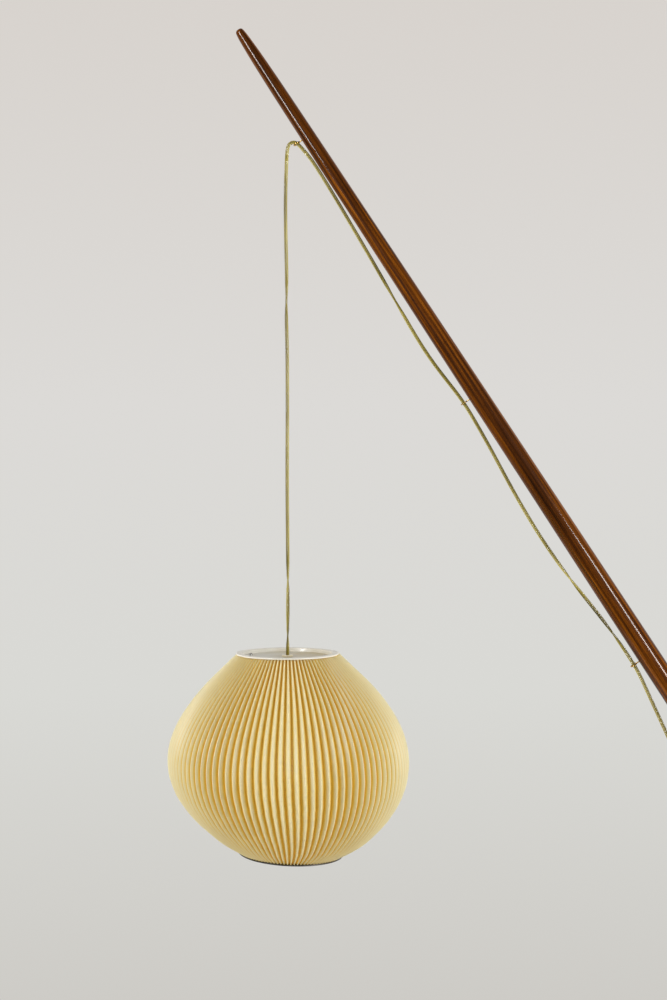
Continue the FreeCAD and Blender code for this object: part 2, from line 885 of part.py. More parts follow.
arm_eyes = []
arm_holes = []
for count, from_tip in enumerate((size.eye_first, size.eye_second, size.eye_third), start=1):
    along = size.arm_reach - from_tip
    surface = wood_radius(from_tip)
    hole_floor = surface - size.eye_shank_depth - size.running_gap
    hole = cylinder(
        f"ArmEyeHole{count}",
        eye_bore,
        size.eye_shank_depth + 3,
        x=-hole_floor,
        z=along,
        rotation=ALONG_MINUS_X,
    )
    arm_holes.append(hole)
    arm_eyes.append(screw_eye(f"ArmEye{count}", surface, along, size.eye_shank_depth))
named(on_arm(cut("Arm", arm_wood, arm_holes)), "arm")
named(on_arm(group("ScrewEyes", arm_eyes)), "screw_eyes")
named(screw_eye("BracketEye", size.sleeve_radius, eye_height, size.sleeve_eye_depth), "bracket_eye")
pole_eye_depth = size.eye_shank_depth - 1
named(screw_eye("PoleEyeUpper", pole, size.pole_eye_upper, pole_eye_depth), "pole_eye_upper")
named(screw_eye("PoleEyeLower", pole, size.pole_eye_lower, pole_eye_depth), "pole_eye_lower")


def arm_point(from_tip, below_axis):
    """A point under the arm, by its distance from the tip and from the arm's axis."""
    local = Vector(-float(below_axis), 0, float(size.arm_reach) - float(from_tip))
    return Vector(float(pivot_x), 0, float(pivot_z)) + lean.multVec(local)


# ---------------------------------------------------------------------------------------
# Hanging shade: a shallow dish, a lip ring under it, pleated foil and a hoop at the foot.

first_ring = arm_point(size.eye_first, wood_radius(size.eye_first) + size.eye_stand)
hang_x = first_ring.x - float(size.hang_offset)
rim_z = first_ring.z - float(size.hang_drop)


def hung(piece, below_rim, rotation=None, x=0.0, y=0.0):
    """Put a shade piece on the hanging cord's axis, its base so far below the dish's rim."""
    centre = Vector(hang_x + float(x), float(y), rim_z - float(below_rim))
    piece.Placement = Placement(centre, rotation or Rotation())
    return piece


dish_height = size.dish_depth + size.dish_floor
grip_hole = size.grip_radius + size.wood_fit
dish_inner = size.dish_radius - size.dish_flange
dish_outline = (
    (grip_hole, 0),
    (size.dish_foot_radius, 0),
    (size.dish_foot_radius, size.dish_depth),
    (size.dish_radius, size.dish_depth),
    (size.dish_radius, dish_height),
    (dish_inner, dish_height),
    (dish_inner - 1, size.dish_floor),
    (grip_hole, size.dish_floor),
)
dish_blank = turned("DishBlank", dish_outline)


def dish_screw_points():
    """The two screws of the dish, opposite each other, as angles in degrees."""
    return (-float(size.dish_screw_turn), 180.0 - float(size.dish_screw_turn))


def screw_holes(name, base, depth):
    """Holes for the dish's two screws, through a plate that lies between base and depth."""
    radius = size.dish_screw_radius + size.screw_fit
    tools = []
    for angle in dish_screw_points():
        turn = math.radians(angle)
        x = size.dish_screw_circle * math.cos(turn)
        y = size.dish_screw_circle * math.sin(turn)
        tools.append(cylinder(name, radius, depth, x, y, base))
    return tools


dish = cut("TopDish", dish_blank, screw_holes("DishHole", -1.0, size.dish_floor + 2))
named(hung(dish, dish_height), "top_dish")

lip_top_radius = size.dish_foot_radius
lip_foot_radius = lip_top_radius + size.lip_spread
lip_outline = (
    (lip_foot_radius - size.lip_thickness, 0),
    (lip_foot_radius, 0),
    (lip_top_radius, size.lip_height - 0.5),
    (lip_top_radius, size.lip_height),
    (size.lip_bore, size.lip_height),
    (size.lip_bore, size.lip_height - size.lip_plate),
    (lip_top_radius - size.lip_thickness, size.lip_height - size.lip_plate),
)
lip_blank = turned("LipBlank", lip_outline)
lip = cut("TopRing", lip_blank, screw_holes("LipHole", -1.0, size.lip_height + 2))
named(hung(lip, dish_height + size.lip_height), "top_ring")

screw_shank = size.dish_floor + size.lip_plate + 1.5
screw_heads = size.dish_screw_head_height
dish_screw_outline = (
    (0, 0),
    (size.dish_screw_radius, 0),
    (size.dish_screw_radius, screw_shank),
    (size.dish_screw_head, screw_shank),
    (size.dish_screw_head, screw_shank + screw_heads / 2),
    (size.dish_screw_head / 2, screw_shank + screw_heads),
    (0, screw_shank + screw_heads),
)
dish_screws = []
for angle in dish_screw_points():
    turn = math.radians(angle)
    x = size.dish_screw_circle * math.cos(turn)
    y = size.dish_screw_circle * math.sin(turn)
    dish_screws.append(turned("DishScrew", dish_screw_outline, x, y))
named(hung(group("DishScrews", dish_screws), size.dish_depth + screw_shank), "dish_screws")

foil_start = float(dish_height - size.dish_depth + size.foil_gap)


def foil_section(share, swell):
    """One level cut through a strip of foil: pleats outside, and inside at its thickness."""
    ends = float(size.foil_top_radius) * (1 - share) + float(size.foil_bottom_radius) * share
    crest = ends + (float(size.foil_radius) - ends) * swell
    half_pitch = math.pi / PLEATS
    half_width = crest * math.sin(half_pitch)
    valley = crest - math.sqrt(float(size.pleat_side) ** 2 - half_width**2)
    across = valley * math.sin(half_pitch)
    along = crest - valley * math.cos(half_pitch)
    inward = float(size.foil_thickness) / math.sin(math.atan2(across, along))
    level = -float(size.foil_height) * share
    folds = 2 * PLEATS // STRIPS
    outside = []
    inside = []
    for fold in range(folds + 1):
        radius = valley if fold % 2 == 0 else crest
        angle = fold * half_pitch
        way = Vector(math.cos(angle), math.sin(angle), 0)
        outside.append(way * radius + Vector(0, 0, level))
        inside.append(way * (radius - inward) + Vector(0, 0, level))
    corners = outside + inside[::-1]
    return Part.makePolygon(corners + [corners[0]])


foil_sections = [foil_section(share, swell) for share, swell in FOIL_SWELL]
levels_in_band = (len(FOIL_SWELL) - 1) // BANDS
foil_pieces = []
for band in range(BANDS):
    first_level = band * levels_in_band
    piece = Part.makeLoft(foil_sections[first_level : first_level + levels_in_band + 1], True, False)
    if not piece.isValid() or piece.Volume <= 0:
        raise RuntimeError("a piece of the pleated foil isn't a solid")
    for count in range(STRIPS):
        turned_piece = piece.copy()
        turned_piece.rotate(Vector(), Vector(0, 0, 1), 360.0 * count / STRIPS)
        foil_pieces.append(turned_piece)
foil = hung(formed("PleatedFoil", Part.makeCompound(foil_pieces)), foil_start)
named(foil, "pleated_foil")

hoop_top = foil_start + float(size.foil_height) + float(size.running_gap)
hoop = ring("BottomRing", size.hoop_radius, size.hoop_bore, size.hoop_height)
named(hung(hoop, hoop_top + float(size.hoop_height)), "bottom_ring")

# ---------------------------------------------------------------------------------------
# Lampholder under the dish and the bulb in it.

grip_below = size.grip_length - size.dish_floor
grip_top = size.grip_length + size.grip_flange_height
cord_bore = size.cord_width / 2 + 0.2
grip_outline = (
    (size.grip_wire_bore, 0),
    (size.grip_radius, 0),
    (size.grip_radius, size.grip_length),
    (size.grip_flange_radius, size.grip_length),
    (size.grip_flange_radius, grip_top),
    (cord_bore, grip_top),
    (cord_bore, grip_top - size.grip_socket),
    (size.grip_wire_bore, grip_top - size.grip_socket),
)
named(hung(turned("CordGrip", grip_outline), dish_height + grip_below), "cord_grip")

holder = size.holder_radius
holder_inner = holder - size.holder_wall
boss_radius = size.grip_radius + size.wood_fit
cap_boss = size.cap_height - grip_below
cap_outline = (
    (holder_inner, 0),
    (holder, 0),
    (holder, size.cap_skirt),
    (size.cap_crown_radius, size.cap_height),
    (boss_radius, size.cap_height),
    (boss_radius, cap_boss),
    (size.cap_crown_radius - size.holder_wall, cap_boss),
    (holder_inner, size.cap_skirt - 1),
)
cap_bottom = dish_height + size.cap_height
named(hung(turned("HolderCap", cap_outline), cap_bottom), "holder_cap")

skirt_bottom = cap_bottom + size.skirt_length
named(hung(ring("HolderShell", holder, holder_inner, size.skirt_length), skirt_bottom), "holder_shell")

insert_bottom = cap_bottom + size.insert_drop + size.insert_height
insert = cylinder("HolderBody", holder_inner - size.wood_fit, size.insert_height)
named(hung(insert, insert_bottom), "holder_body")

thread = ring("ScrewShell", size.thread_radius, size.thread_radius - size.thread_wall, size.thread_length)
tongue = cylinder("CentreContact", size.contact_radius, size.contact_height, z=size.thread_length - size.contact_height)
named(hung(group("HolderContacts", [thread, tongue]), insert_bottom + size.thread_length), "holder_contacts")

button_top = insert_bottom + size.contact_height + size.running_gap
cone_top = button_top + size.bulb_button_height
button = cylinder("BulbContact", size.bulb_button_radius, size.bulb_button_height)
named(hung(button, cone_top), "bulb_contact")

bulb_cap_outline = (
    (0, 0),
    (size.bulb_cap_radius, 0),
    (size.bulb_cap_radius, size.bulb_cap_length),
    (size.bulb_button_radius + 2, size.bulb_cap_length + size.bulb_cone_height),
    (0, size.bulb_cap_length + size.bulb_cone_height),
)
bulb_cap_bottom = cone_top + size.bulb_cone_height + size.bulb_cap_length
named(hung(turned("BulbCap", bulb_cap_outline), bulb_cap_bottom), "bulb_cap")

globe_rise = size.bulb_radius
neck_height = size.bulb_length - (bulb_cap_bottom - button_top) - size.bulb_radius
neck_radius = size.bulb_cap_radius - size.running_gap
shoulder = size.bulb_radius * 0.8
shoulder_rise = size.bulb_radius * 0.6


def glass_shape(name, wall):
    """The bulb's globe and neck, drawn in by a wall."""
    globe = doc.addObject("Part::Sphere", name + "Globe")
    bind(globe, "Radius", size.bulb_radius - wall)
    place(globe, z=globe_rise)
    neck = cone(
        name + "Neck",
        shoulder - wall,
        neck_radius - wall,
        neck_height - shoulder_rise,
        z=globe_rise + shoulder_rise,
    )
    return fuse(name, [globe, neck])


glass = cut("BulbGlass", glass_shape("GlassOutside", 0.0), [glass_shape("GlassInside", size.bulb_wall)])
bulb_bottom = bulb_cap_bottom + neck_height + size.bulb_radius
named(hung(glass, bulb_bottom), "bulb_glass")

# ---------------------------------------------------------------------------------------
# Switch and plug on the cord, lying on the floor.

switch_left = -(size.switch_near_x + size.switch_length)
switch_front = size.switch_y - size.switch_width / 2
switch_middle = switch_left + size.switch_length / 2
switch_wall = size.switch_wall
switch_top = size.switch_base_height + size.switch_cover_height
cord_radius = size.cord_width / 2
entry_z = size.switch_base_height
inner_length = size.switch_length - 2 * switch_wall
inner_width = size.switch_width - 2 * switch_wall
entry_bore = cord_radius + 0.1


def entry_hole(name):
    """A bore through both end walls, for the cord."""
    return cylinder(
        name,
        entry_bore,
        size.switch_length + 2,
        x=switch_left - 1,
        y=size.switch_y,
        z=entry_z,
        rotation=ALONG_X,
    )


def screw_posts(name, radius, height, z):
    """Upright cylinders at the switch's two screws."""
    places = (switch_left + size.switch_screw_inset, switch_left + size.switch_length - size.switch_screw_inset)
    posts = []
    for x, side in ((places[0], size.switch_width / 5), (places[1], -size.switch_width / 5)):
        posts.append(cylinder(name, radius, height, x, size.switch_y + side, z))
    return posts


post_radius = size.switch_screw_radius + 1.2
base_shell = cut(
    "SwitchBaseShell",
    box("SwitchBaseBlock", size.switch_length, size.switch_width, size.switch_base_height, switch_left, switch_front, 0.0),
    [
        box(
            "SwitchBaseHollow",
            inner_length,
            inner_width,
            size.switch_base_height,
            switch_left + switch_wall,
            switch_front + switch_wall,
            switch_wall,
        )
    ],
)
base_posts = screw_posts("SwitchBasePost", post_radius, size.switch_base_height, 0.0)
base_holes = screw_posts("SwitchBaseHole", size.switch_screw_radius + size.screw_fit, switch_top, switch_wall)
base_solid = fuse("SwitchBaseSolid", [base_shell] + base_posts)
named(cut("SwitchBase", base_solid, [entry_hole("SwitchBaseEntry")] + base_holes), "switch_base")

cover_inside = size.switch_cover_height - switch_wall
cover_shell = cut(
    "SwitchCoverShell",
    box("SwitchCoverBlock", size.switch_length, size.switch_width, size.switch_cover_height, switch_left, switch_front, entry_z),
    [
        box(
            "SwitchCoverHollow",
            inner_length,
            inner_width,
            cover_inside,
            switch_left + switch_wall,
            switch_front + switch_wall,
            entry_z,
        )
    ],
)
cover_posts = screw_posts("SwitchCoverPost", post_radius, size.switch_cover_height, entry_z)
head_seat = switch_top - size.switch_wall
cover_holes = screw_posts("SwitchCoverHole", size.switch_screw_radius + size.screw_fit, switch_top, entry_z - 1)
cover_sinks = screw_posts("SwitchCoverSink", size.switch_screw_head + size.screw_fit, size.switch_wall + 1, head_seat)
window_length = size.rocker_length + 2 * size.rocker_fit
window_width = size.rocker_width + 2 * size.rocker_fit
window = box(
    "RockerWindow",
    window_length,
    window_width,
    size.switch_wall + 2,
    switch_middle - window_length / 2,
    size.switch_y - window_width / 2,
    switch_top - size.switch_wall - 1,
)
axle_length = size.switch_width - 2 * switch_wall
axle_z = switch_top - 3.4
axle_seat = size.rocker_axle + size.bolt_fit
lug_width = (axle_length - window_width) / 2
lugs = []
for start in (switch_front + switch_wall, size.switch_y + window_width / 2):
    lug = box(
        "RockerLug",
        6.0,
        lug_width,
        switch_top - axle_z + 3.0 - switch_wall / 2,
        switch_middle - 3.0,
        start,
        axle_z - 3.0,
    )
    lugs.append(lug)
cover_solid = fuse("SwitchCoverSolid", [cover_shell] + cover_posts + lugs)
axle_hole = cylinder(
    "RockerAxleHole",
    axle_seat,
    axle_length,
    switch_middle,
    switch_front + switch_wall,
    axle_z,
    ALONG_Y,
)
cover_tools = [entry_hole("SwitchCoverEntry"), window, axle_hole] + cover_holes + cover_sinks
named(cut("SwitchCover", cover_solid, cover_tools), "switch_cover")

rocker_plate_height = switch_top + size.rocker_proud - axle_z
rocker_block = box(
    "RockerBlock",
    size.rocker_length - 2,
    size.rocker_width,
    rocker_plate_height,
    switch_middle - size.rocker_length / 2 + 1,
    size.switch_y - size.rocker_width / 2,
    axle_z,
)
rocker_dip = cylinder(
    "RockerDip",
    size.rocker_length * 1.4,
    size.rocker_width + 2,
    switch_middle,
    size.switch_y - size.rocker_width / 2 - 1,
    switch_top + size.rocker_proud + size.rocker_length * 1.4 - 1.5,
    ALONG_Y,
)
rocker_top = cut("RockerTop", rocker_block, [rocker_dip])
rocker_pin = cylinder(
    "RockerPin",
    size.rocker_axle,
    axle_length - 2 * size.rocker_fit,
    switch_middle,
    switch_front + switch_wall + size.rocker_fit,
    axle_z,
    ALONG_Y,
)
rocker = fuse("SwitchRocker", [rocker_top, rocker_pin])
rocker_turn = Rotation(Vector(0, 1, 0), float(size.rocker_tilt))
rocker_axle = Vector(float(switch_middle), float(size.switch_y), float(axle_z))
rocker.Placement = Placement(Vector(), rocker_turn, rocker_axle)
named(rocker, "switch_rocker")

contact_size = 5.0
contacts = []
for x in (switch_left + 16.0, switch_left + size.switch_length - 16.0 - contact_size):
    block = box(
        "SwitchTerminal",
        contact_size,
        contact_size,
        3.5,
        x,
        size.switch_y - contact_size / 2,
        switch_wall,
    )
    contacts.append(block)
named(group("SwitchTerminals", contacts), "switch_terminals")

switch_screw_start = switch_wall + 0.5
switch_screw_length = head_seat - switch_screw_start
switch_screws = []
shanks = screw_posts("SwitchScrewShank", size.switch_screw_radius, switch_screw_length, switch_screw_start)
heads = screw_posts("SwitchScrewHead", size.switch_screw_head, size.switch_wall - 0.3, head_seat)
for shank, head in zip(shanks, heads):
    switch_screws.append(fuse("SwitchScrew", [shank, head]))
named(group("SwitchScrews", switch_screws), "switch_screws")

plug_right = -size.plug_near_x
plug_y = size.coil_centre_y + size.coil_inner + 3 * size.coil_pitch
plug_z = size.plug_height / 2
plug_nose = 14.0
plug_shape = [
    box(
        "PlugNose",
        plug_nose,
        size.plug_width,
        size.plug_height,
        plug_right - size.plug_length,
        plug_y - size.plug_width / 2,
        0.0,
    ),
    box(
        "PlugTail",
        size.plug_length - plug_nose,
        size.plug_width * 0.6,
        size.plug_height,
        plug_right - size.plug_length + plug_nose,
        plug_y - size.plug_width * 0.3,
        0.0,
    ),
]
plug_blank = fuse("PlugBlank", plug_shape)
pin_end = size.pin_length + size.pin_root_length
pin_outline = (
    (0, 0),
    (size.pin_radius, 0),
    (size.pin_radius, size.pin_length),
    (size.pin_root_radius, size.pin_length),
    (size.pin_root_radius, pin_end),
    (0, pin_end),
)
nose_face = plug_right - size.plug_length
pin_start = nose_face - size.running_gap - size.pin_length
root_bore = size.pin_root_radius + size.bolt_fit
root_hole = size.pin_root_length + 1
pin_holes = []
pins = []
for side in (-0.5, 0.5):
    across = plug_y + size.pin_spacing * side
    pins.append(turned("PlugPin", pin_outline, pin_start, across, plug_z, ALONG_X))
    pin_holes.append(cylinder("PinHole", root_bore, root_hole, nose_face - 1, across, plug_z, ALONG_X))
named(cut("PlugBody", plug_blank, pin_holes), "plug_body")
named(group("PlugPins", pins), "plug_pins")

# ---------------------------------------------------------------------------------------
# Cord. One route runs from the grip in the dish, over the first eye, under the arm, round
# by the bracket, down the pole and along the floor to the switch. It is cut into pieces
# at the middles of runs, so that the pieces meet face to face.

under_arm = (
    (185.3, 17.0),
    (207.0, 14.2),
    (231.0, 14.2),
    (277.0, 15.6),
    (322.0, 18.0),
    (368.0, 20.2),
    (413.0, 22.9),
    (459.0, 25.6),
    (504.0, 27.9),
    (540.0, 27.9),
    (577.0, 25.0),
    (602.0, 22.9),
    (626.0, 22.6),
    (660.0, 24.4),
    (694.0, 26.9),
    (738.0, 30.9),
    (783.0, 34.2),
    (830.0, 35.9),
    (877.0, 35.0),
    (921.0, 31.8),
    (965.0, 27.4),
    (1005.0, 24.6),
    (1040.0, 23.9),
)

grip_seat = rim_z - float(size.dish_depth - size.grip_flange_height + size.grip_socket)
bend_low = first_ring.z - 1.0
over_eye = (
    Vector(hang_x, 0, grip_seat),
    Vector(hang_x, 0, bend_low),
    Vector(first_ring.x - 2.6, 0, first_ring.z + 3.2),
)
along_arm = tuple(arm_point(from_tip, below) for from_tip, below in under_arm)
eye_ring_x = float(size.sleeve_radius + size.eye_stand)
eye_ring_z = float(eye_height)
slack_loop = (
    arm_point(1068.0, 24.9),
    Vector(-176.5, 0, 1222),
    Vector(-153.0, 0, 1171),
    Vector(-131.0, 0, 1122),
    Vector(-107.0, 0, 1082),
    Vector(-85.0, 0, 1066),
    Vector(-66.0, 0, 1058),
    Vector(-50.0, 0, 1053),
    Vector(-37.0, 0, 1047),
    Vector(-eye_ring_x - 1.2, 0, eye_ring_z + 5.0),
    Vector(-eye_ring_x + 0.1, 0, eye_ring_z - 7.0),
)
past_collar = (
    Vector(-30.9, 0, 1008),
    Vector(-30.2, 0, 976),
    Vector(-28.9, 0, 932),
    Vector(-27.7, 0, 872),
    Vector(-26.9, 0, 812),
)
pole_ring_x = -float(pole + size.eye_stand)
down_pole = (
    Vector(-26.4, 0, 742),
    Vector(pole_ring_x - 0.1, 0, float(size.pole_eye_upper) + 14),
    Vector(pole_ring_x - 0.3, 0, float(size.pole_eye_upper) - 34),
    Vector(-27.6, 0, 560),
    Vector(-29.2, 0, 492),
    Vector(-30.3, 0, 422),
    Vector(-30.6, 0, 352),
    Vector(-30.0, 0, 284),
    Vector(-28.6, 0, 218),
    Vector(-26.9, 0, 158),
)
cord_entry = 4.0
to_switch = (
    Vector(pole_ring_x, 0, float(size.pole_eye_lower) + 7),
    Vector(pole_ring_x - 0.7, 0, float(size.pole_eye_lower) - 22),
    Vector(-30.5, 0, 60),
    Vector(-39.5, -0.4, 37),
    Vector(-56.0, -1.2, 17.5),
    Vector(-77.0, -2.6, 7.0),
    Vector(-99.0, -4.4, 3.4),
    Vector(-121.0, -5.5, 4.2),
    Vector(-144.0, -6.0, 8.1),
    Vector(-float(size.switch_near_x) - cord_entry, -6.0, float(entry_z)),
)
route = over_eye + along_arm + slack_loop + past_collar + down_pole + to_switch


def corner_arc(before, corner, after):
    """The tangent arc at a corner of the route: its two ends, its middle and its radius."""
    into = (corner - before).normalize()
    out = (after - corner).normalize()
    turn = into.getAngle(out)
    shorter = min(before.distanceToPoint(corner), after.distanceToPoint(corner))
    reach = 0.45 * shorter
    radius = reach / math.tan(turn / 2)
    start = corner - into * reach
    end = corner + out * reach
    towards = (out - into).normalize()
    middle = corner + towards * (radius / math.cos(turn / 2) - radius)
    return start, middle, end, radius


def cord_path(points, start, end):
    """Straight runs joined by tangent arcs, from start, round every point, to end."""
    edges = []
    radii = []
    here = start
    for index in range(1, len(points) - 1):
        arc_start, middle, arc_end, radius = corner_arc(points[index - 1], points[index], points[index + 1])
        edges.append(Part.LineSegment(here, arc_start).toShape())
        edges.append(Part.Arc(arc_start, middle, arc_end).toShape())
        radii.append(radius)
        here = arc_end
    edges.append(Part.LineSegment(here, end).toShape())
    return Part.Wire(edges), radii


cord_length = 0.0


def cord_piece(name, label, points, start=None, end=None):
    """One node of the cord, as a round tube of its width."""
    global cord_length
    path, radii = cord_path(points, start or points[0], end or points[-1])
    cord_length += path.Length
    least = min(radii) if radii else 0.0
    print(f"{label}: {path.Length:.0f} mm long, radii from {least:.1f} mm: {[round(r) for r in radii]}")
    return named(formed(name, tube(path, float(cord_radius))), label)


def between(first, second, share=0.5):
    return first + (second - first) * share


def piece_of_route(name, label, first, last, start_share=0.5, end_share=0.5):
    """The stretch of the route round the points first to last, cut within the runs beside them."""
    start = between(route[first - 1], route[first], start_share)
    end = between(route[last], route[last + 1], end_share)
    points = list(route[first - 1 : last + 2])
    return cord_piece(name, label, points, start, end)


drop_run = route[0].distanceToPoint(route[1])
bend_share = 1.0 - 16.7 / drop_run
bend_last = len(over_eye) - 1
arm_last = bend_last + len(along_arm)
loop_last = arm_last + len(slack_loop)
turn_last = loop_last + len(past_collar)
pole_last = turn_last + len(down_pole)
floor_last = pole_last + len(to_switch) - 1
drop_end = between(route[0], route[1], bend_share)
straight_drop = Part.Wire(Part.LineSegment(route[0], drop_end).toShape())
cord_length += straight_drop.Length
named(formed("CordDrop", tube(straight_drop, float(cord_radius))), "cord_drop")
piece_of_route("CordBend", "cord_bend", 1, bend_last, start_share=bend_share)
piece_of_route("CordArm", "cord_arm", bend_last + 1, arm_last)
piece_of_route("CordLoop", "cord_loop", arm_last + 1, loop_last)
piece_of_route("CordTurn", "cord_turn", loop_last + 1, turn_last)
piece_of_route("CordPole", "cord_pole", turn_last + 1, pole_last)
piece_of_route("CordFloor", "cord_floor", pole_last + 1, floor_last, end_share=1.0)

# Coil of spare cord: two layers that wind in, climb and wind out again. Each half turn is
# an arc about one of two centres, half a pitch apart, so that the turns stay tangent.

coil_x = float(size.coil_centre_x)
coil_y = float(size.coil_centre_y)
coil_inner = float(size.coil_inner)
coil_pitch = float(size.coil_pitch)
LAYER_TURNS = 3
layer_low = float(size.coil_bottom) + float(cord_radius)
layer_high = layer_low + coil_pitch


def half_turn(side, radius, shift, level):
    """Half a turn, counter-clockwise, on the west (-1) or the east (+1) side."""
    start = Vector(coil_x, coil_y + shift - side * radius, level)
    middle = Vector(coil_x + side * radius, coil_y + shift, level)
    end = Vector(coil_x, coil_y + shift + side * radius, level)
    return Part.Arc(start, middle, end).toShape()


lead = float(size.cord_width)
coil_outer = coil_inner + LAYER_TURNS * coil_pitch
coil_start = Vector(coil_x + lead, coil_y + coil_outer, layer_low)
coil_edges = [Part.LineSegment(coil_start, Vector(coil_x, coil_y + coil_outer, layer_low)).toShape()]
for turn in range(LAYER_TURNS):
    outer = coil_outer - turn * coil_pitch
    coil_edges.append(half_turn(-1, outer, 0.0, layer_low))
    coil_edges.append(half_turn(1, outer - coil_pitch / 2, -coil_pitch / 2, layer_low))
climb_ways = (Vector(-1, 0, 0), Vector(0, -1, 0.5 * coil_pitch / coil_inner).normalize(), Vector(1, 0, 0))
climb_points = (
    Vector(coil_x, coil_y + coil_inner, layer_low),
    Vector(coil_x - coil_inner, coil_y, (layer_low + layer_high) / 2),
    Vector(coil_x, coil_y - coil_inner, layer_high),
)
for index in range(2):
    ways = climb_ways[index : index + 2]
    coil_edges += biarc(climb_points[index], ways[0], climb_points[index + 1], ways[1])
for turn in range(LAYER_TURNS):
    inner = coil_inner + turn * coil_pitch
    coil_edges.append(half_turn(1, inner + coil_pitch / 2, coil_pitch / 2, layer_high))
    if turn < LAYER_TURNS - 1:
        coil_edges.append(half_turn(-1, inner + coil_pitch, 0.0, layer_high))
coil_end = Vector(coil_x - lead, coil_y + coil_outer, layer_high)
coil_edges.append(Part.LineSegment(Vector(coil_x, coil_y + coil_outer, layer_high), coil_end).toShape())
coil_path = Part.Wire(coil_edges)
cord_length += coil_path.Length
coil_gap = least_gap(coil_path, float(size.cord_width), math.pi * coil_inner)
print(f"cord_coil: {coil_path.Length:.0f} mm long, least gap between turns {coil_gap:.2f} mm")
named(formed("CordCoil", tube(coil_path, float(cord_radius))), "cord_coil")

switch_far_x = float(switch_left)
lead_in = (
    Vector(switch_far_x + cord_entry, -6.0, float(entry_z)),
    Vector(switch_far_x - 13, -6.0, float(entry_z)),
    Vector(switch_far_x - 34, -3.6, 6.6),
    Vector(switch_far_x - 60, 3.4, 4.2),
    Vector(switch_far_x - 86, 10.6, 3.2),
    Vector(switch_far_x - 106, coil_y + coil_outer, layer_low),
    coil_start,
)
cord_piece("CordLead", "cord_lead", lead_in)
plug_entry = Vector(float(plug_right), float(plug_y), float(plug_z))
lead_out = (
    coil_end,
    coil_end + Vector(-14, 0, 0),
    Vector(coil_x - 42, coil_y + coil_outer - 1.6, 6.6),
    Vector(coil_x - 66, coil_y + coil_outer - 2.2, 4.2),
    Vector(coil_x - 86, coil_y + coil_outer - 0.8, 6.2),
    plug_entry + Vector(9, 0, 0),
    plug_entry,
)
cord_piece("CordTail", "cord_tail", lead_out)
print(f"whole cord: {cord_length / 1000:.2f} m")

# A twist tie closes round the coil on its -Y side.
bundle_inner = size.coil_inner - cord_radius - size.tie_gap
bundle_outer = size.coil_inner + LAYER_TURNS * size.coil_pitch + cord_radius + size.tie_gap
tie_hollow_bottom = size.coil_bottom - size.tie_gap
tie_hollow_top = size.coil_bottom + size.coil_pitch + size.cord_width + size.tie_gap
tie_tape = size.tie_thickness
tie_block = box(
    "TieBlock",
    size.tie_width,
    bundle_outer - bundle_inner + 2 * tie_tape,
    tie_hollow_top - tie_hollow_bottom + 2 * tie_tape,
    size.coil_centre_x - size.tie_width / 2,
    size.coil_centre_y - bundle_outer - tie_tape,
    tie_hollow_bottom - tie_tape,
)
tie_hollow = box(
    "TieHollow",
    size.tie_width + 2,
    bundle_outer - bundle_inner,
    tie_hollow_top - tie_hollow_bottom,
    size.coil_centre_x - size.tie_width / 2 - 1,
    size.coil_centre_y - bundle_outer,
    tie_hollow_bottom,
)
named(cut("CoilTie", tie_block, [tie_hollow]), "coil_tie")

# ---------------------------------------------------------------------------------------
# Check every object and every shape, then write one STEP file for each sub-part.

doc.recompute()
for item in doc.Objects:
    if "Invalid" in item.State or "Error" in item.State:
        raise RuntimeError(f"{item.Name} ({item.Label}) is {item.State}")
labels = set()
for piece in subparts:
    if piece.Label in labels:
        raise RuntimeError(f"two sub-parts are named {piece.Label}")
    labels.add(piece.Label)
    if piece.Shape.isNull() or not piece.Shape.isValid() or not piece.Shape.Solids:
        raise RuntimeError(f"the shape of {piece.Label} isn't a valid solid")
os.makedirs("parts", exist_ok=True)
for piece in subparts:
    piece.Shape.exportStep(os.path.join("parts", piece.Label + ".step"))
print(f"{len(subparts)} sub-parts written")
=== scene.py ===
import json
import math

import bmesh
import bpy
from mathutils import Matrix, Vector

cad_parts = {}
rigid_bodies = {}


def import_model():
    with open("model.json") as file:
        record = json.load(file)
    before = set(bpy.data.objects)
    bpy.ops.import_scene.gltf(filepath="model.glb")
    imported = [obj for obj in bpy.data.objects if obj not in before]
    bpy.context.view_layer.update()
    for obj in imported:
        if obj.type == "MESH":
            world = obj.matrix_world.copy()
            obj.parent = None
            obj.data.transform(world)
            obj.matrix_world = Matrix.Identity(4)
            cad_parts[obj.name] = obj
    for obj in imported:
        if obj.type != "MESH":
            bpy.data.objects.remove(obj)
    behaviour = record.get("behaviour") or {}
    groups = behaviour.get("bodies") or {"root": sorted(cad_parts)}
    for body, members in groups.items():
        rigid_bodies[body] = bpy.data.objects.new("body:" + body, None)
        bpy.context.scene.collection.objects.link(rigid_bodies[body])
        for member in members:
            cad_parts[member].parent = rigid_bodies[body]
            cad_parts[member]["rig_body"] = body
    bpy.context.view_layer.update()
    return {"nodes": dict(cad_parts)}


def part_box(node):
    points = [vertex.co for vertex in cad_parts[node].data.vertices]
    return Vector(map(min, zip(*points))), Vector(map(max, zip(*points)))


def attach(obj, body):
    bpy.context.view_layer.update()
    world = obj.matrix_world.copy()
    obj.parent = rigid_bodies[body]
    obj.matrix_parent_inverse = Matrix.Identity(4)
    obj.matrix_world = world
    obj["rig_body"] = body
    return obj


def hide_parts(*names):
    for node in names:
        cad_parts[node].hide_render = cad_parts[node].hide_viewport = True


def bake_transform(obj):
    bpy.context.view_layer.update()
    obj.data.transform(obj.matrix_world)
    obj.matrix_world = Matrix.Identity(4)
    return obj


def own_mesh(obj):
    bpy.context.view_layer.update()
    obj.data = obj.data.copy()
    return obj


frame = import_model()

# ---------------------------------------------------------------------------------------
# Studio: a level camera at the photograph's place, a pale round floor that ends below the
# picture, and an even sky. Two big soft lamps stand at the sides and two slim ones in front.


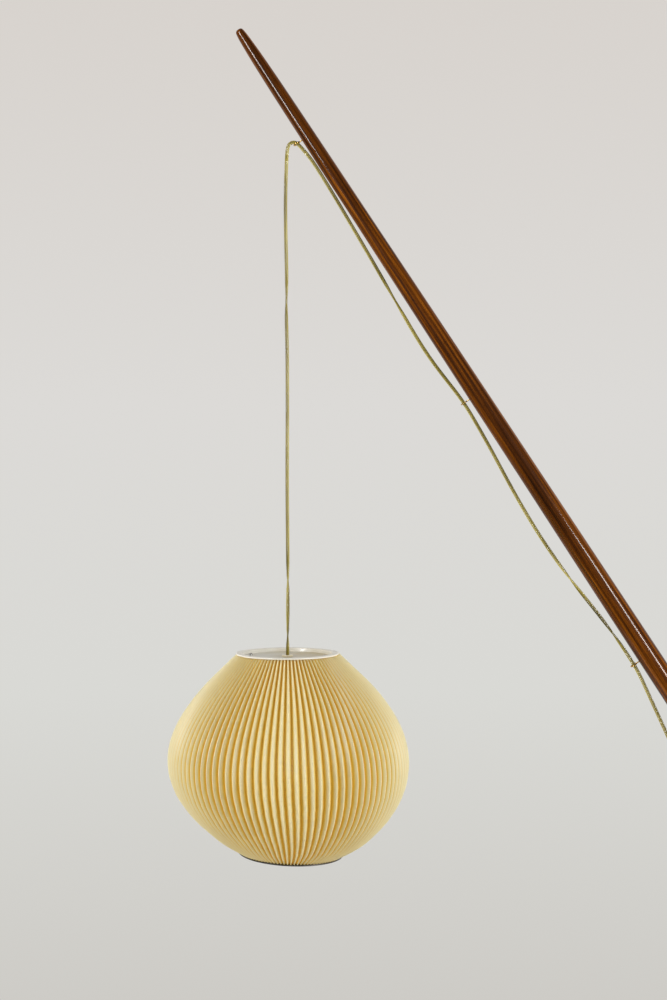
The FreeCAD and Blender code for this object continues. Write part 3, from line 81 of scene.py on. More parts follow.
def colour(code):
    """An sRGB hex colour as the linear values that a shader takes."""
    shares = [int(code[start : start + 2], 16) / 255 for start in (1, 3, 5)]
    linear = [share / 12.92 if share <= 0.04045 else ((share + 0.055) / 1.055) ** 2.4 for share in shares]
    return (*linear, 1.0)


def add(tree, kind, inputs=None, stops=(), **settings):
    """Add a node with its settings, its inputs' values or links, and a ramp's stops."""
    made = tree.nodes.new(kind)
    for setting, value in settings.items():
        setattr(made, setting, value)
    for socket, value in (inputs or {}).items():
        if isinstance(value, bpy.types.NodeSocket):
            tree.links.new(value, made.inputs[socket])
        else:
            made.inputs[socket].default_value = value
    for index, (place, tint) in enumerate(stops):
        stop = made.color_ramp.elements[index] if index < 2 else made.color_ramp.elements.new(place)
        stop.position = place
        stop.color = colour(tint)
    return made


def material(name):
    """A new material, its node tree and its own surface shader."""
    made = bpy.data.materials.new(name)
    made.use_nodes = True
    return made, made.node_tree, made.node_tree.nodes["Principled BSDF"]


def in_scene(name, data):
    """A new object at the origin, in the scene."""
    made = bpy.data.objects.new(name, data)
    bpy.context.scene.collection.objects.link(made)
    return made


scene = bpy.context.scene
scene.view_settings.view_transform = "Standard"

camera = in_scene("camera", bpy.data.cameras.new("camera"))
camera.data.lens = 50
camera.data.sensor_width = 36
camera.location = (-0.6225, -1.958, 1.5)
camera.rotation_euler = (math.radians(90), 0, 0)
scene.camera = camera

wall_tones = ((0.0, "#cdcbc6"), (1.0, "#d8d3ce"), (0.3, "#d9d9d5"), (0.6, "#dcdad7"))
world = bpy.data.worlds.new("pale room")
world.use_nodes = True
scene.world = world
sky = world.node_tree
sky.nodes.clear()
rays = add(sky, "ShaderNodeLightPath")
seen = add(
    sky, "ShaderNodeMath", {0: rays.outputs["Is Camera Ray"], 1: rays.outputs["Is Transmission Ray"]},
    operation="MAXIMUM",
)
shown = add(
    sky, "ShaderNodeMath", {0: seen.outputs[0], 1: rays.outputs["Is Glossy Ray"]}, operation="MAXIMUM",
)
# Gloss sees the pale wall behind the lamp and a dimmer room in front of it.
facing = add(sky, "ShaderNodeSeparateXYZ", {0: add(sky, "ShaderNodeTexCoord").outputs["Generated"]})
room = add(
    sky, "ShaderNodeMapRange",
    {"Value": facing.outputs["Y"], "From Min": -0.2, "From Max": 0.5, "To Min": 0.04, "To Max": 1.0},
)
wall = add(sky, "ShaderNodeMath", {0: seen.outputs[0], 1: room.outputs[0]}, operation="MAXIMUM")
even_light = add(sky, "ShaderNodeBackground", {"Color": colour("#fffdf8"), "Strength": 0.45})
# The wall is palest at eye level, darker near the floor and a little pink near the ceiling.
upward = add(sky, "ShaderNodeMapRange", {"Value": facing.outputs["Z"], "From Min": -0.34, "From Max": 0.34})
wall_tone = add(sky, "ShaderNodeValToRGB", {"Fac": upward.outputs[0]}, stops=wall_tones)
plain_view = add(
    sky, "ShaderNodeBackground", {"Color": wall_tone.outputs["Color"], "Strength": wall.outputs[0]},
)
sky_mix = add(
    sky, "ShaderNodeMixShader", {0: shown.outputs[0], 1: even_light.outputs[0], 2: plain_view.outputs[0]},
)
add(sky, "ShaderNodeOutputWorld", {"Surface": sky_mix.outputs[0]})

floor_mesh = bpy.data.meshes.new("floor")
floor_form = bmesh.new()
bmesh.ops.create_circle(floor_form, cap_ends=True, radius=1.6, segments=96)
floor_form.to_mesh(floor_mesh)
floor_form.free()
floor = in_scene("floor", floor_mesh)
floor_finish, tree, shader = material("pale matt floor")
shader.inputs["Base Color"].default_value = colour("#dcdad6")
shader.inputs["Roughness"].default_value = 0.8
floor_mesh.materials.append(floor_finish)

for name, place, aim, power, width, height, highlight in (
    ("side left", (-4.9, -1.6, 2.0), (-0.7, 0, 1.3), 148, 2.0, 2.4, False),
    ("side right", (3.6, -1.7, 1.9), (-0.6, 0, 1.3), 144, 2.0, 2.4, False),
    ("slim left", (-2.3, -1.9, 2.3), (-0.7, 0, 1.7), 60, 0.45, 1.5, True),
    ("slim right", (1.5, -2.2, 1.5), (-0.3, 0, 1.4), 60, 0.45, 1.5, True),
):
    lamp = in_scene(name, bpy.data.lights.new(name, "AREA"))
    lamp.data.energy = power
    lamp.data.shape = "RECTANGLE"
    lamp.data.size = width
    lamp.data.size_y = height
    # The big lamps light the colours, and the slim ones only draw the line of gloss.
    lamp.visible_glossy = highlight
    lamp.visible_diffuse = not highlight
    lamp.visible_transmission = not highlight
    lamp.location = place
    lamp.rotation_euler = (Vector(aim) - Vector(place)).to_track_quat("-Z", "Y").to_euler()

# ---------------------------------------------------------------------------------------
# Pole: three lengths of oiled teak, turned to 34 mm and polished. They screw together on
# hidden steel studs, and each end wears a flush brass ferrule.

pole_radius = 0.017
body_of_node = {name: item["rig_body"] for name, item in frame["nodes"].items()}


def finish_nodes(finish, *names, ease=0.0003):
    """Give CAD pieces whose shape is right their finish, and break their sharp edges."""
    for name in names:
        item = frame["nodes"][name]
        item.data.materials.clear()
        item.data.materials.append(finish)
        item.modifiers.new("closed", "WELD").merge_threshold = 0.000002
        edge = item.modifiers.new("eased", "BEVEL")
        edge.width = ease
        edge.segments = 2
        edge.limit_method = "ANGLE"
        edge.angle_limit = math.radians(40)


def wood(name, lengthwise, tones, coat, roughness):
    """Turned hardwood under oil or lacquer: long pores, growth bands and slow changes of tone."""
    made, tree, shader = material(name)
    where = add(tree, "ShaderNodeTexCoord").outputs["Object"]
    grain = add(tree, "ShaderNodeMapping", {"Vector": where, "Rotation": lengthwise})
    # Growth bands about 4 mm apart across the grain, drawn out sixty times along it.
    long_way = add(tree, "ShaderNodeMapping", {"Vector": grain.outputs[0], "Scale": (240, 240, 4)})
    bands = add(
        tree, "ShaderNodeTexNoise",
        {"Vector": long_way.outputs[0], "Scale": 1.0, "Detail": 4.0, "Roughness": 0.6},
    )
    # Pores are 0.2 mm wide and up to 8 mm long. They are drawn at 0.6 by 14 mm, which shows.
    pore_way = add(tree, "ShaderNodeMapping", {"Vector": grain.outputs[0], "Scale": (1800, 1800, 70)})
    pores = add(
        tree, "ShaderNodeTexNoise",
        {"Vector": pore_way.outputs[0], "Scale": 1.0, "Detail": 2.0, "Roughness": 0.7},
    )
    # The tone changes over 30 mm across the grain and 300 mm along it.
    slow_way = add(tree, "ShaderNodeMapping", {"Vector": grain.outputs[0], "Scale": (30, 30, 3)})
    slow = add(tree, "ShaderNodeTexNoise", {"Vector": slow_way.outputs[0], "Scale": 1.0, "Detail": 2.0})
    tone = add(tree, "ShaderNodeValToRGB", {"Fac": bands.outputs["Fac"]}, stops=tones)
    shade = add(
        tree, "ShaderNodeMapRange",
        {"Value": slow.outputs["Fac"], "From Min": 0.3, "From Max": 0.7, "To Min": 0.72, "To Max": 1.18},
    )
    toned = add(
        tree, "ShaderNodeVectorMath", {0: tone.outputs["Color"], "Scale": shade.outputs[0]},
        operation="SCALE",
    )
    open_pore = add(
        tree, "ShaderNodeMapRange",
        {"Value": pores.outputs["Fac"], "From Min": 0.56, "From Max": 0.68, "To Min": 1.0, "To Max": 0.45},
    )
    surface = add(
        tree, "ShaderNodeVectorMath", {0: toned.outputs[0], "Scale": open_pore.outputs[0]},
        operation="SCALE",
    )
    tree.links.new(surface.outputs[0], shader.inputs["Base Color"])
    dents = add(
        tree, "ShaderNodeBump", {"Height": open_pore.outputs[0], "Strength": 0.12, "Distance": 0.0002},
    )
    tree.links.new(dents.outputs[0], shader.inputs["Normal"])
    shader.inputs["Roughness"].default_value = roughness
    shader.inputs["IOR"].default_value = 1.5
    shader.inputs["Specular IOR Level"].default_value = 0.05
    shader.inputs["Coat Weight"].default_value = coat
    shader.inputs["Coat Roughness"].default_value = 0.07
    return made


teak_tones = ((0.30, "#3a1a0a"), (0.70, "#8a4a1e"), (0.44, "#5a2c10"), (0.56, "#6e3814"))
# Oiled and polished teak: warm red-brown with dark lengthwise streaks and a low gloss.
pole_teak = wood("oiled teak pole", (0, 0, 0), teak_tones, 0.35, 0.38)
finish_nodes(pole_teak, "lower_pole", "middle_pole", "upper_pole")

# ---------------------------------------------------------------------------------------
# Brass fittings: ferrules, collar, bracket, washers, nut and tube are turned from rod, then
# polished and lacquered. They have dulled a little since.


def metal(name, tint, roughness, scratch):
    """A turned metal, with its fine tool marks and the dulled patches of use."""
    made, tree, shader = material(name)
    where = add(tree, "ShaderNodeTexCoord").outputs["Object"]
    # The dulled patches are about 17 mm across.
    patches = add(tree, "ShaderNodeTexNoise", {"Vector": where, "Scale": 60.0, "Detail": 3.0})
    # Tool marks are a tenth of a millimetre apart, drawn three times as coarse to show.
    marks = add(tree, "ShaderNodeMapping", {"Vector": where, "Scale": (40, 40, 3000)})
    fine = add(tree, "ShaderNodeTexNoise", {"Vector": marks.outputs[0], "Scale": 1.0, "Detail": 1.0})
    tone = add(tree, "ShaderNodeValToRGB", {"Fac": patches.outputs["Fac"]}, stops=tint)
    tree.links.new(tone.outputs["Color"], shader.inputs["Base Color"])
    dull = add(
        tree, "ShaderNodeMapRange",
        {
            "Value": patches.outputs["Fac"], "From Min": 0.35, "From Max": 0.7, "To Min": roughness,
            "To Max": roughness + 0.09,
        },
    )
    tree.links.new(dull.outputs[0], shader.inputs["Roughness"])
    bumps = add(
        tree, "ShaderNodeBump", {"Height": fine.outputs["Fac"], "Strength": scratch, "Distance": 0.00005},
    )
    tree.links.new(bumps.outputs[0], shader.inputs["Normal"])
    shader.inputs["Metallic"].default_value = 1.0
    return made


# Lacquered brass: yellow, softly mirrored, browner where the lacquer has gone.
brass = metal("lacquered brass", ((0.3, "#bb9550"), (0.75, "#d8b469")), 0.22, 0.15)
finish_nodes(
    brass,
    "joint_ferrules", "plunger_tube", "plunger_nut", "plunger_rod", "ceiling_cup", "foot_ferrule",
    "height_collar", "swivel_bracket", "pivot_bolt", "tilt_washers", "arm_tongue", "arm_ferrule",
    "holder_contacts",
)
# Bright steel: spring wire, studs, pins and small screws, grey and shiny.
steel = metal("bright steel", ((0.35, "#9a9894"), (0.75, "#c8c6c2")), 0.22, 0.1)
finish_nodes(
    steel, "joint_studs", "switch_screws", "switch_terminals", "plug_pins", "bulb_contact", "dish_screws",
)

# ---------------------------------------------------------------------------------------
# Rubber and nylon: the floor and ceiling pads are moulded rubber that grips without marking, and
# a nylon washer lets the bracket turn on its collar.


def moulded(name, tint, roughness, grain, coat=0.0):
    """A moulded plastic or rubber with a fine grain and a slight unevenness of tone."""
    made, tree, shader = material(name)
    where = add(tree, "ShaderNodeTexCoord").outputs["Object"]
    # The tone changes over about 22 mm.
    cloudy = add(tree, "ShaderNodeTexNoise", {"Vector": where, "Scale": 45.0, "Detail": 3.0})
    tone = add(tree, "ShaderNodeValToRGB", {"Fac": cloudy.outputs["Fac"]}, stops=tint)
    tree.links.new(tone.outputs["Color"], shader.inputs["Base Color"])
    # The mould's grain is about 0.3 mm.
    grainy = add(tree, "ShaderNodeTexNoise", {"Vector": where, "Scale": 3300.0, "Detail": 2.0})
    bumps = add(
        tree, "ShaderNodeBump", {"Height": grainy.outputs["Fac"], "Strength": grain, "Distance": 0.0001},
    )
    tree.links.new(bumps.outputs[0], shader.inputs["Normal"])
    shader.inputs["Roughness"].default_value = roughness
    shader.inputs["Coat Weight"].default_value = coat
    return made


# Rubber: soft black-brown with no gloss.
rubber = moulded("moulded rubber", ((0.3, "#1d1a18"), (0.7, "#2b2826")), 0.75, 0.4)
# Nylon: milky and waxy.
nylon = moulded("natural nylon", ((0.3, "#d9d4c6"), (0.7, "#e6e2d6")), 0.45, 0.1)
finish_nodes(nylon, "swivel_washer")

# ---------------------------------------------------------------------------------------
# Arm: one length of rosewood-coloured teak, turned to a long taper with a blunt rounded tip
# and lacquered. Its butt sits in a brass ferrule on the bracket's tongue.

pivot = Vector((-0.048, 0, 1.082))
arm_lean = math.radians(33.25)
arm_reach = 1.292
arm_start = 0.035
# The taper, as distance from the tip and radius, in millimetres.
arm_taper = (
    (0, 0), (0.1, 3.5), (0.7, 4.6), (2.0, 5.5), (5, 6.2), (12, 7.0), (26, 7.8), (45, 8.6),
    (80, 9.4), (124, 10.0), (220, 10.8), (327, 11.45), (480, 12.6), (632, 13.55), (767, 14.3),
    (902, 15.15), (1072, 15.95), (1257, 16.75),
)


def smooth_through(points, steps):
    """Points on a smooth line that passes through each of the given ones."""
    ends = [points[0], *points, points[-1]]
    line = []
    for a, b, c, d in zip(ends, ends[1:], ends[2:], ends[3:]):
        for step in range(steps):
            t = step / steps
            line.append(tuple(
                q + 0.5 * t * (r - p + t * (2 * p - 5 * q + 4 * r - s + t * (3 * q - p - 3 * r + s)))
                for p, q, r, s in zip(a, b, c, d)
            ))
    return line + [tuple(points[-1])]


def eased_corners(outline, radius, steps=4):
    """An outline of (radius, height) corners with each corner rounded off."""
    corners = [Vector(corner) for corner in outline]
    eased = []
    for index, here in enumerate(corners):
        before, after = corners[index - 1] - here, corners[(index + 1) % len(corners)] - here
        if here.x < 1e-6 or before.length < 1e-6 or after.length < 1e-6:
            eased.append(tuple(here))
            continue
        start = here + before.normalized() * min(radius, before.length * 0.45)
        end = here + after.normalized() * min(radius, after.length * 0.45)
        for step in range(steps + 1):
            t = step / steps
            eased.append(tuple(start * (1 - t) ** 2 + here * 2 * t * (1 - t) + end * t * t))
    return eased


def finished(name, form, finish):
    """A form made into a smooth piece with its finish, its faces pointing outwards."""
    bmesh.ops.recalc_face_normals(form, faces=form.faces)
    made = bpy.data.meshes.new(name)
    form.to_mesh(made)
    form.free()
    made.shade_smooth()
    made.materials.append(finish)
    return in_scene(name, made)


def turned(name, outline, finish, placed=Matrix(), around=64, swell=None):
    """A lathe-turned piece: a closed outline of (radius, height) swept round Z, then placed."""
    form = bmesh.new()
    rings = []
    for radius, height in outline:
        if radius < 1e-6:
            rings.append([form.verts.new((0, 0, height))])
            continue
        ring = []
        for step in range(around):
            angle = 2 * math.pi * step / around
            reach = radius + (swell(angle, radius, height) if swell else 0.0)
            ring.append(form.verts.new((reach * math.cos(angle), reach * math.sin(angle), height)))
        rings.append(ring)
    for lower, upper in zip(rings, rings[1:] + rings[:1]):
        for step in range(around):
            following = (step + 1) % around
            ring = [lower[step % len(lower)], lower[following % len(lower)]]
            ring += [upper[following % len(upper)], upper[step % len(upper)]]
            corners = list(dict.fromkeys(ring))
            if len(corners) > 2:
                form.faces.new(corners)
    bmesh.ops.remove_doubles(form, verts=form.verts, dist=1e-7)
    form.transform(placed)
    made = finished(name, form, finish)
    made.data.set_sharp_from_angle(angle=math.radians(38))
    return made


def stands_for(piece, slot, *nodes):
    """Let a finished piece ride where its CAD nodes ride, and stand in for them."""
    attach(piece, body_of_node[nodes[0]])
    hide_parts(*nodes)
    return piece


on_arm = Matrix.Translation(pivot) @ Matrix.Rotation(-arm_lean, 4, "Y")
taper_line = smooth_through(arm_taper, 5)
arm_outline = [(max(radius, 0) / 1000, arm_reach - along / 1000) for along, radius in taper_line]
arm_outline[0] = (0, arm_reach)
arm_outline.append((0, arm_start))
rosewood_tones = (
    (0.28, "#251001"), (0.74, "#b0680e"), (0.42, "#482202"), (0.54, "#673503"), (0.64, "#874b06"),
)
# Lacquered rosewood-brown teak: near black streaks on red-brown under a glassy coat.
arm_wood = wood("lacquered dark teak arm", (0, arm_lean, 0), rosewood_tones, 0.48, 0.42)
arm = turned("arm_wood", arm_outline, arm_wood, on_arm, around=48)
stands_for(arm, "teak", "arm")

# ---------------------------------------------------------------------------------------
# Screw eyes: each is brass wire of 1.7 mm, bent to a ring with a small gap at its neck. Three
# guide the cord under the arm, one does at the bracket, and two do down the pole.

eye_wire = 0.0017
eye_ring = (0.0108 - eye_wire) / 2
eye_stand = 0.0089


def carried(line, side):
    """Each point of a line, its direction there, and a side direction carried along unturned."""
    for index, here in enumerate(line):
        way = (line[min(index + 1, len(line) - 1)] - line[max(index - 1, 0)]).normalized()
        side = (side - way * side.dot(way)).normalized()
        yield here, way, side


def skinned(form, rings):
    """Faces from each ring of corners to the next one, and over both ends."""
    count = len(rings[0])
    for lower, upper in zip(rings, rings[1:]):
        for step in range(count):
            following = (step + 1) % count
            form.faces.new((lower[step], lower[following], upper[following], upper[step]))
    form.faces.new(rings[0][::-1])
    form.faces.new(rings[-1])


def swept(form, line, radius, around=10):
    """Sweep a round wire along a line of points, with closed ends."""
    turns = [2 * math.pi * step / around for step in range(around)]
    rings = []
    for here, way, side in carried(line, Vector((0, 1, 0))):
        up = way.cross(side)
        outward = [side * math.cos(turn) + up * math.sin(turn) for turn in turns]
        rings.append([form.verts.new(here + way_out * radius) for way_out in outward])
    skinned(form, rings)


def eye_line(surface, along, depth):
    """The wire of an eye on a surface at -X: the ring's axis is Z, and the shank goes in along +X."""
    centre = Vector((-(surface + eye_stand), 0, along))
    line = [Vector((-surface + depth, 0, along)), Vector((-surface, 0, along))]
    line.append(centre + Vector((eye_ring + 0.0016, 0, 0)))
    # The ring goes from 30 to 334 degrees, which leaves the gap.
    for step in range(4, 45):
        angle = math.radians(step * 7.6)
        line.append(centre + Vector((eye_ring * math.cos(angle), eye_ring * math.sin(angle), 0)))
    return line


def eyes(name, places, placed, *nodes):
    """All the screw eyes of one body, as one piece."""
    form = bmesh.new()
    for surface, along, depth in places:
        swept(form, eye_line(surface, along, depth), eye_wire / 2)
    form.transform(placed)
    return stands_for(finished(name, form, brass), "brass", *nodes)


# On the arm, each eye's distance from the tip and the wood's radius there. A place is a surface's
# distance from the axis, the height or reach along it, and how deep the shank goes.
arm_eyes = ((0.179, 0.01032), (0.614, 0.01331), (1.054, 0.01571))
arm_eye_places = [(radius, arm_reach - away, 0.006) for away, radius in arm_eyes]
eyes("arm_eyes", arm_eye_places, on_arm, "screw_eyes")
eyes("bracket_cord_eye", [(0.0215, 1.032, 0.003)], Matrix(), "bracket_eye")
eyes(
    "pole_cord_eyes", [(pole_radius, 0.66, 0.006), (pole_radius, 0.11, 0.006)], Matrix(),
    "pole_eye_upper", "pole_eye_lower",
)

# ---------------------------------------------------------------------------------------
# Knobs: the arm's tilt knob has a fluted brass rim for the fingers, and the collar's thumb screw
# a finer one. Both have a ring turned into their face.


def fluted(inner, low, high, count, depth):
    """A swell that cuts flutes into a rim, between two heights and outside a radius."""

    def cut(angle, radius, height):
        on_rim = radius > inner and low < height < high
        return -depth * (0.5 + 0.5 * math.cos(count * angle)) ** 2 if on_rim else 0.0

    return cut


knob_outline = eased_corners(
    (
        (0.00405, 0), (0.009, 0), (0.009, 0.003), (0.0125, 0.003), (0.013, 0.0036), (0.013, 0.0044),
        (0.013, 0.0076), (0.013, 0.0108), (0.013, 0.0116), (0.0112, 0.0136), (0.0088, 0.014),
        (0.0084, 0.0136), (0.008, 0.014), (0, 0.0142), (0, 0.012), (0.00405, 0.012),
    ),
    0.0002, 2,
)
knob_back = -0.0123
knob_place = Matrix.Translation((pivot.x, knob_back, pivot.z)) @ Matrix.Rotation(math.radians(90), 4, "X")
tilt_knob = turned(
    "fluted_tilt_knob", knob_outline, brass, knob_place, around=216,
    swell=fluted(0.0128, 0.0042, 0.0112, 24, 0.0008),
)
stands_for(tilt_knob, "brass", "tilt_knob")

screw_height = 1.004
screw_low, screw_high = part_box("collar_screw")
head = screw_high.x - screw_low.x - 0.01
screw_outline = eased_corners(
    (
        (0, 0), (0.0026, 0), (0.003, 0.0005), (0.003, head), (0.0072, head), (0.008, head + 0.001),
        (0.008, head + 0.0016), (0.008, head + 0.005), (0.008, head + 0.0084), (0.008, head + 0.009),
        (0.007, head + 0.01), (0.0054, head + 0.01), (0.005, head + 0.0096), (0.0046, head + 0.01),
        (0, head + 0.01),
    ),
    0.0002, 2,
)
screw_place = Matrix.Translation((screw_low.x, 0, screw_height)) @ Matrix.Rotation(math.radians(90), 4, "Y")
thumb_screw = turned(
    "fluted_thumb_screw", screw_outline, brass, screw_place, around=180,
    swell=fluted(0.0078, head + 0.0014, head + 0.0086, 30, 0.0004),
)
stands_for(thumb_screw, "brass", "collar_screw")

# ---------------------------------------------------------------------------------------
# Pads: the floor and ceiling pads are moulded with two grooves round the side, which let the
# rubber give a little.

groove_deep = 0.0008
groove_mouth = 0.0012
groove_bed = 0.0006
for name, node in (("grooved_floor_pad", "floor_pad"), ("grooved_ceiling_pad", "ceiling_pad")):
    pad_low, pad_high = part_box(node)
    wide, tall = (pad_high.x - pad_low.x) / 2, pad_high.z - pad_low.z
    pad_outline = [(0, 0), (wide - 0.0015, 0), (wide, 0.0015)]
    for groove in (0.34, 0.66):
        middle = tall * groove
        pad_outline += [(wide, middle - groove_mouth / 2), (wide - groove_deep, middle - groove_bed / 2)]
        pad_outline += [(wide - groove_deep, middle + groove_bed / 2), (wide, middle + groove_mouth / 2)]
    pad_outline += [(wide, tall - 0.001), (wide - 0.001, tall), (0, tall)]
    pad_place = Matrix.Translation(((pad_low.x + pad_high.x) / 2, (pad_low.y + pad_high.y) / 2, pad_low.z))
    pad = turned(name, eased_corners(pad_outline, 0.0003, 2), rubber, pad_place, around=96)
    stands_for(pad, "rubber", node)

# ---------------------------------------------------------------------------------------
# Plunger spring: twenty turns of 1.6 mm steel wire under the piston. It shortens by the 50 mm
# that the plunger goes down.

spring_wire = 0.0016
spring_turns = 20
spring_steps = 24 * spring_turns
spring_low, spring_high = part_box("plunger_spring")
spring_round = (spring_high.x - spring_low.x - spring_wire) / 2
spring_tall = spring_high.z - spring_low.z
spring_line = []
for step in range(spring_steps + 1):
    angle = 2 * math.pi * spring_turns * step / spring_steps
    height = spring_low.z + spring_wire / 2 + (spring_tall - spring_wire) * step / spring_steps
    spring_line.append(Vector((spring_round * math.cos(angle), spring_round * math.sin(angle), height)))
form = bmesh.new()
swept(form, spring_line, spring_wire / 2)
spring = stands_for(finished("wound_spring", form, steel), "steel", "plunger_spring")
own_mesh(spring)

# ---------------------------------------------------------------------------------------
# Cord: flat twin flex, two stranded copper cores side by side in clear PVC that has turned
# gold. It comes out of the dish, over the first eye, under the arm and down the pole.

lobe_radius = 0.0013
lobe_apart = 0.0012


def line_of(points, resolution):
    """The smooth line of a route, read from a bare NURBS curve."""
    curve = bpy.data.curves.new("route", "CURVE")
    curve.dimensions = "3D"
    curve.resolution_u = resolution
    spline = curve.splines.new("NURBS")
    spline.points.add(len(points) - 1)
    for point, place in zip(spline.points, points):
        point.co = (*place, 1)
    spline.order_u = 3
    spline.use_endpoint_u = True
    holder = bpy.data.objects.new("route", curve)
    read = bpy.data.meshes.new_from_object(holder)
    line = [vertex.co.copy() for vertex in read.vertices]
    bpy.data.objects.remove(holder)
    bpy.data.curves.remove(curve)
    bpy.data.meshes.remove(read)
    return line


def under_arm(from_tip, below_axis):
    """A point under the arm, by its distance from the tip and from the arm's axis, in mm."""
    return on_arm @ Vector((-below_axis / 1000, 0, arm_reach - from_tip / 1000))


drop_points = [
    (-0.68723, 0, 1.27387), (-0.6868, 0, 1.33), (-0.6868, 0, 1.42), (-0.6880, 0, 1.52), (-0.6874, 0, 1.62),
    (-0.6877, 0, 1.715), (-0.6893, 0, 1.765), (-0.6882, 0, 1.81), (-0.6898, 0, 1.87), (-0.6904, 0, 1.925),
    (-0.6888, 0, 1.978),
]
bend_points = [(-0.68723, 0, 2.00127), (-0.67689, 0, 2.00547)]
arm_points = [
    tuple(under_arm(from_tip, below_axis))
    for from_tip, below_axis in (
        (185.3, 17.0), (207, 14.2), (231, 14.2), (277, 15.6), (322, 18.0), (368, 20.2), (413, 22.9),
        (459, 25.6), (504, 27.9), (540, 27.9), (577, 25.0), (602, 22.9), (626, 22.6), (660, 24.4),
        (694, 26.9), (738, 30.9), (783, 34.2), (830, 35.9), (877, 35.0), (921, 31.8), (965, 27.4),
        (1005, 24.6), (1040, 23.9),
    )
]
loop_points = [
    (-0.19164, 0, 1.25568), (-0.1765, 0, 1.222), (-0.153, 0, 1.171), (-0.131, 0, 1.122), (-0.107, 0, 1.082),
    (-0.085, 0, 1.066), (-0.066, 0, 1.058), (-0.05, 0, 1.053), (-0.037, 0, 1.047), (-0.0316, 0, 1.037),
    (-0.0303, 0, 1.025),
]
turn_points = [
    (-0.0309, 0, 1.008), (-0.0302, 0, 0.976), (-0.0289, 0, 0.932), (-0.0277, 0, 0.872),
    (-0.0269, 0, 0.812),
]
pole_points = [
    (-0.0264, 0, 0.742), (-0.026, 0, 0.674), (-0.0262, 0, 0.626), (-0.0276, 0, 0.56), (-0.0292, 0, 0.492),
    (-0.0303, 0, 0.422), (-0.0306, 0, 0.352), (-0.03, 0, 0.284), (-0.0286, 0, 0.218), (-0.0269, 0, 0.158),
]
floor_points = [
    (-0.0259, 0, 0.117), (-0.0266, 0, 0.088), (-0.0305, 0, 0.06), (-0.0395, -0.0004, 0.037),
    (-0.056, -0.0012, 0.0175), (-0.077, -0.0026, 0.006), (-0.099, -0.0044, 0.0015), (-0.121, -0.0055, 0.002),
    (-0.144, -0.006, 0.0075), (-0.162, -0.006, 0.0085), (-0.190, -0.006, 0.0085), (-0.218, -0.006, 0.0085),
    (-0.235, -0.006, 0.0082), (-0.256, -0.0036, 0.0040), (-0.282, 0.0034, 0.0012), (-0.308, 0.0106, 0.0016),
    (-0.328, 0.0148, 0.0016), (-0.345, 0.0148, 0.0016),
]

# The coil: three turns that wind in on the floor, a half turn that climbs, and two and a
# half turns that wind out on top.
coil_middle = Vector((-0.35, -0.032, 0))
coil_inner = 0.03
coil_pitch = 0.0056
coil_low = 0.0016
coil_high = 0.0046
coil_turns = 3
steps_a_turn = 16


def coil_point(turns):
    """A point of the coil, by the turns wound since its start at the far side."""
    share = turns % 1
    wound_in = math.floor(turns) + max(0.0, 2 * share - 1)
    if turns <= coil_turns:
        radius = coil_inner + (coil_turns - wound_in) * coil_pitch
    elif turns <= coil_turns + 0.5:
        radius = coil_inner
    else:
        radius = coil_inner + (wound_in - coil_turns) * coil_pitch
    climb = min(max((turns - coil_turns) / 0.5, 0.0), 1.0)
    height = coil_low + (coil_high - coil_low) * climb * climb * (3 - 2 * climb)
    angle = math.pi / 2 + 2 * math.pi * turns
    return coil_middle + Vector((radius * math.cos(angle), radius * math.sin(angle), height))


coil_points = [tuple(coil_point(step / steps_a_turn)) for step in range(2 * coil_turns * steps_a_turn + 1)]
tail_points = [
    (-0.369, 0.0148, 0.0046), (-0.392, 0.0132, 0.0030), (-0.416, 0.0126, 0.0022), (-0.436, 0.014, 0.0058),
    (-0.449, 0.0148, 0.007), (-0.462, 0.0148, 0.007),
]
whole_route = drop_points + bend_points + arm_points + loop_points + turn_points + pole_points
whole_route += floor_points + coil_points + tail_points
cord_line = line_of(whole_route, 5)


# The heights on the drop where the cord twists most of a quarter turn and back, and where it
# twists right over.
twist_and_back = 1.782
twists_over = (1.387, 1.31)


def flat_turn(index, place):
    """How far the cord's flat side is turned about its own line: it faces the viewer at the shade
    and arm, twists in three places on the drop, and lies down on the floor."""
    turn = 0.0
    if index < len(cord_line) // 4:
        turn += 1.5 * math.exp(-(((place.z - twist_and_back) / 0.022) ** 2))
        for height in twists_over:
            turn += math.pi / (1 + math.exp(-(place.z - height) / 0.011))
    if place.x > -0.2 and place.z < 0.62:
        share = min(max((0.62 - place.z) / 0.45, 0.0), 1.0)
        turn += 0.5 * math.pi * share * share * (3 - 2 * share)
    if place.x <= -0.2 and place.z < 0.1:
        turn += 0.5 * math.pi
    return turn


def cord_frames(line):
    """The direction of the cord's flat side at each point, with its twists, and its own direction."""
    frames = []
    for index, (here, way, side) in enumerate(carried(line, Vector((1, 0, 0)))):
        turn = flat_turn(index, here)
        frames.append((side * math.cos(turn) + way.cross(side) * math.sin(turn), way))
    return frames


lobe_steps = 10
lobe_reach = math.pi - math.acos(lobe_apart / lobe_radius)
lobe = []
for middle, start in ((lobe_apart, 0.0), (-lobe_apart, math.pi)):
    for step in range(lobe_steps):
        angle = start - lobe_reach + 2 * lobe_reach * step / lobe_steps
        lobe.append((middle + lobe_radius * math.cos(angle), lobe_radius * math.sin(angle)))
frames = cord_frames(cord_line)
metres_along = [0.0]
for before, after in zip(cord_line, cord_line[1:]):
    metres_along.append(metres_along[-1] + (after - before).length)


def cord_stretch(name, first, last, finish):
    """One stretch of the twin cord as a mesh, with its own length and width written on it."""
    form = bmesh.new()
    across = form.verts.layers.float.new("across")
    along = form.verts.layers.float.new("along")
    rings = []
    for index in range(first, last + 1):
        wide, way = frames[index]
        thin = way.cross(wide)
        ring = []
        for a, b in lobe:
            vertex = form.verts.new(cord_line[index] + wide * a + thin * b)
            vertex[across] = a / lobe_apart
            vertex[along] = metres_along[index]
            ring.append(vertex)
        rings.append(ring)
    skinned(form, rings)
    return finished(name, form, finish)


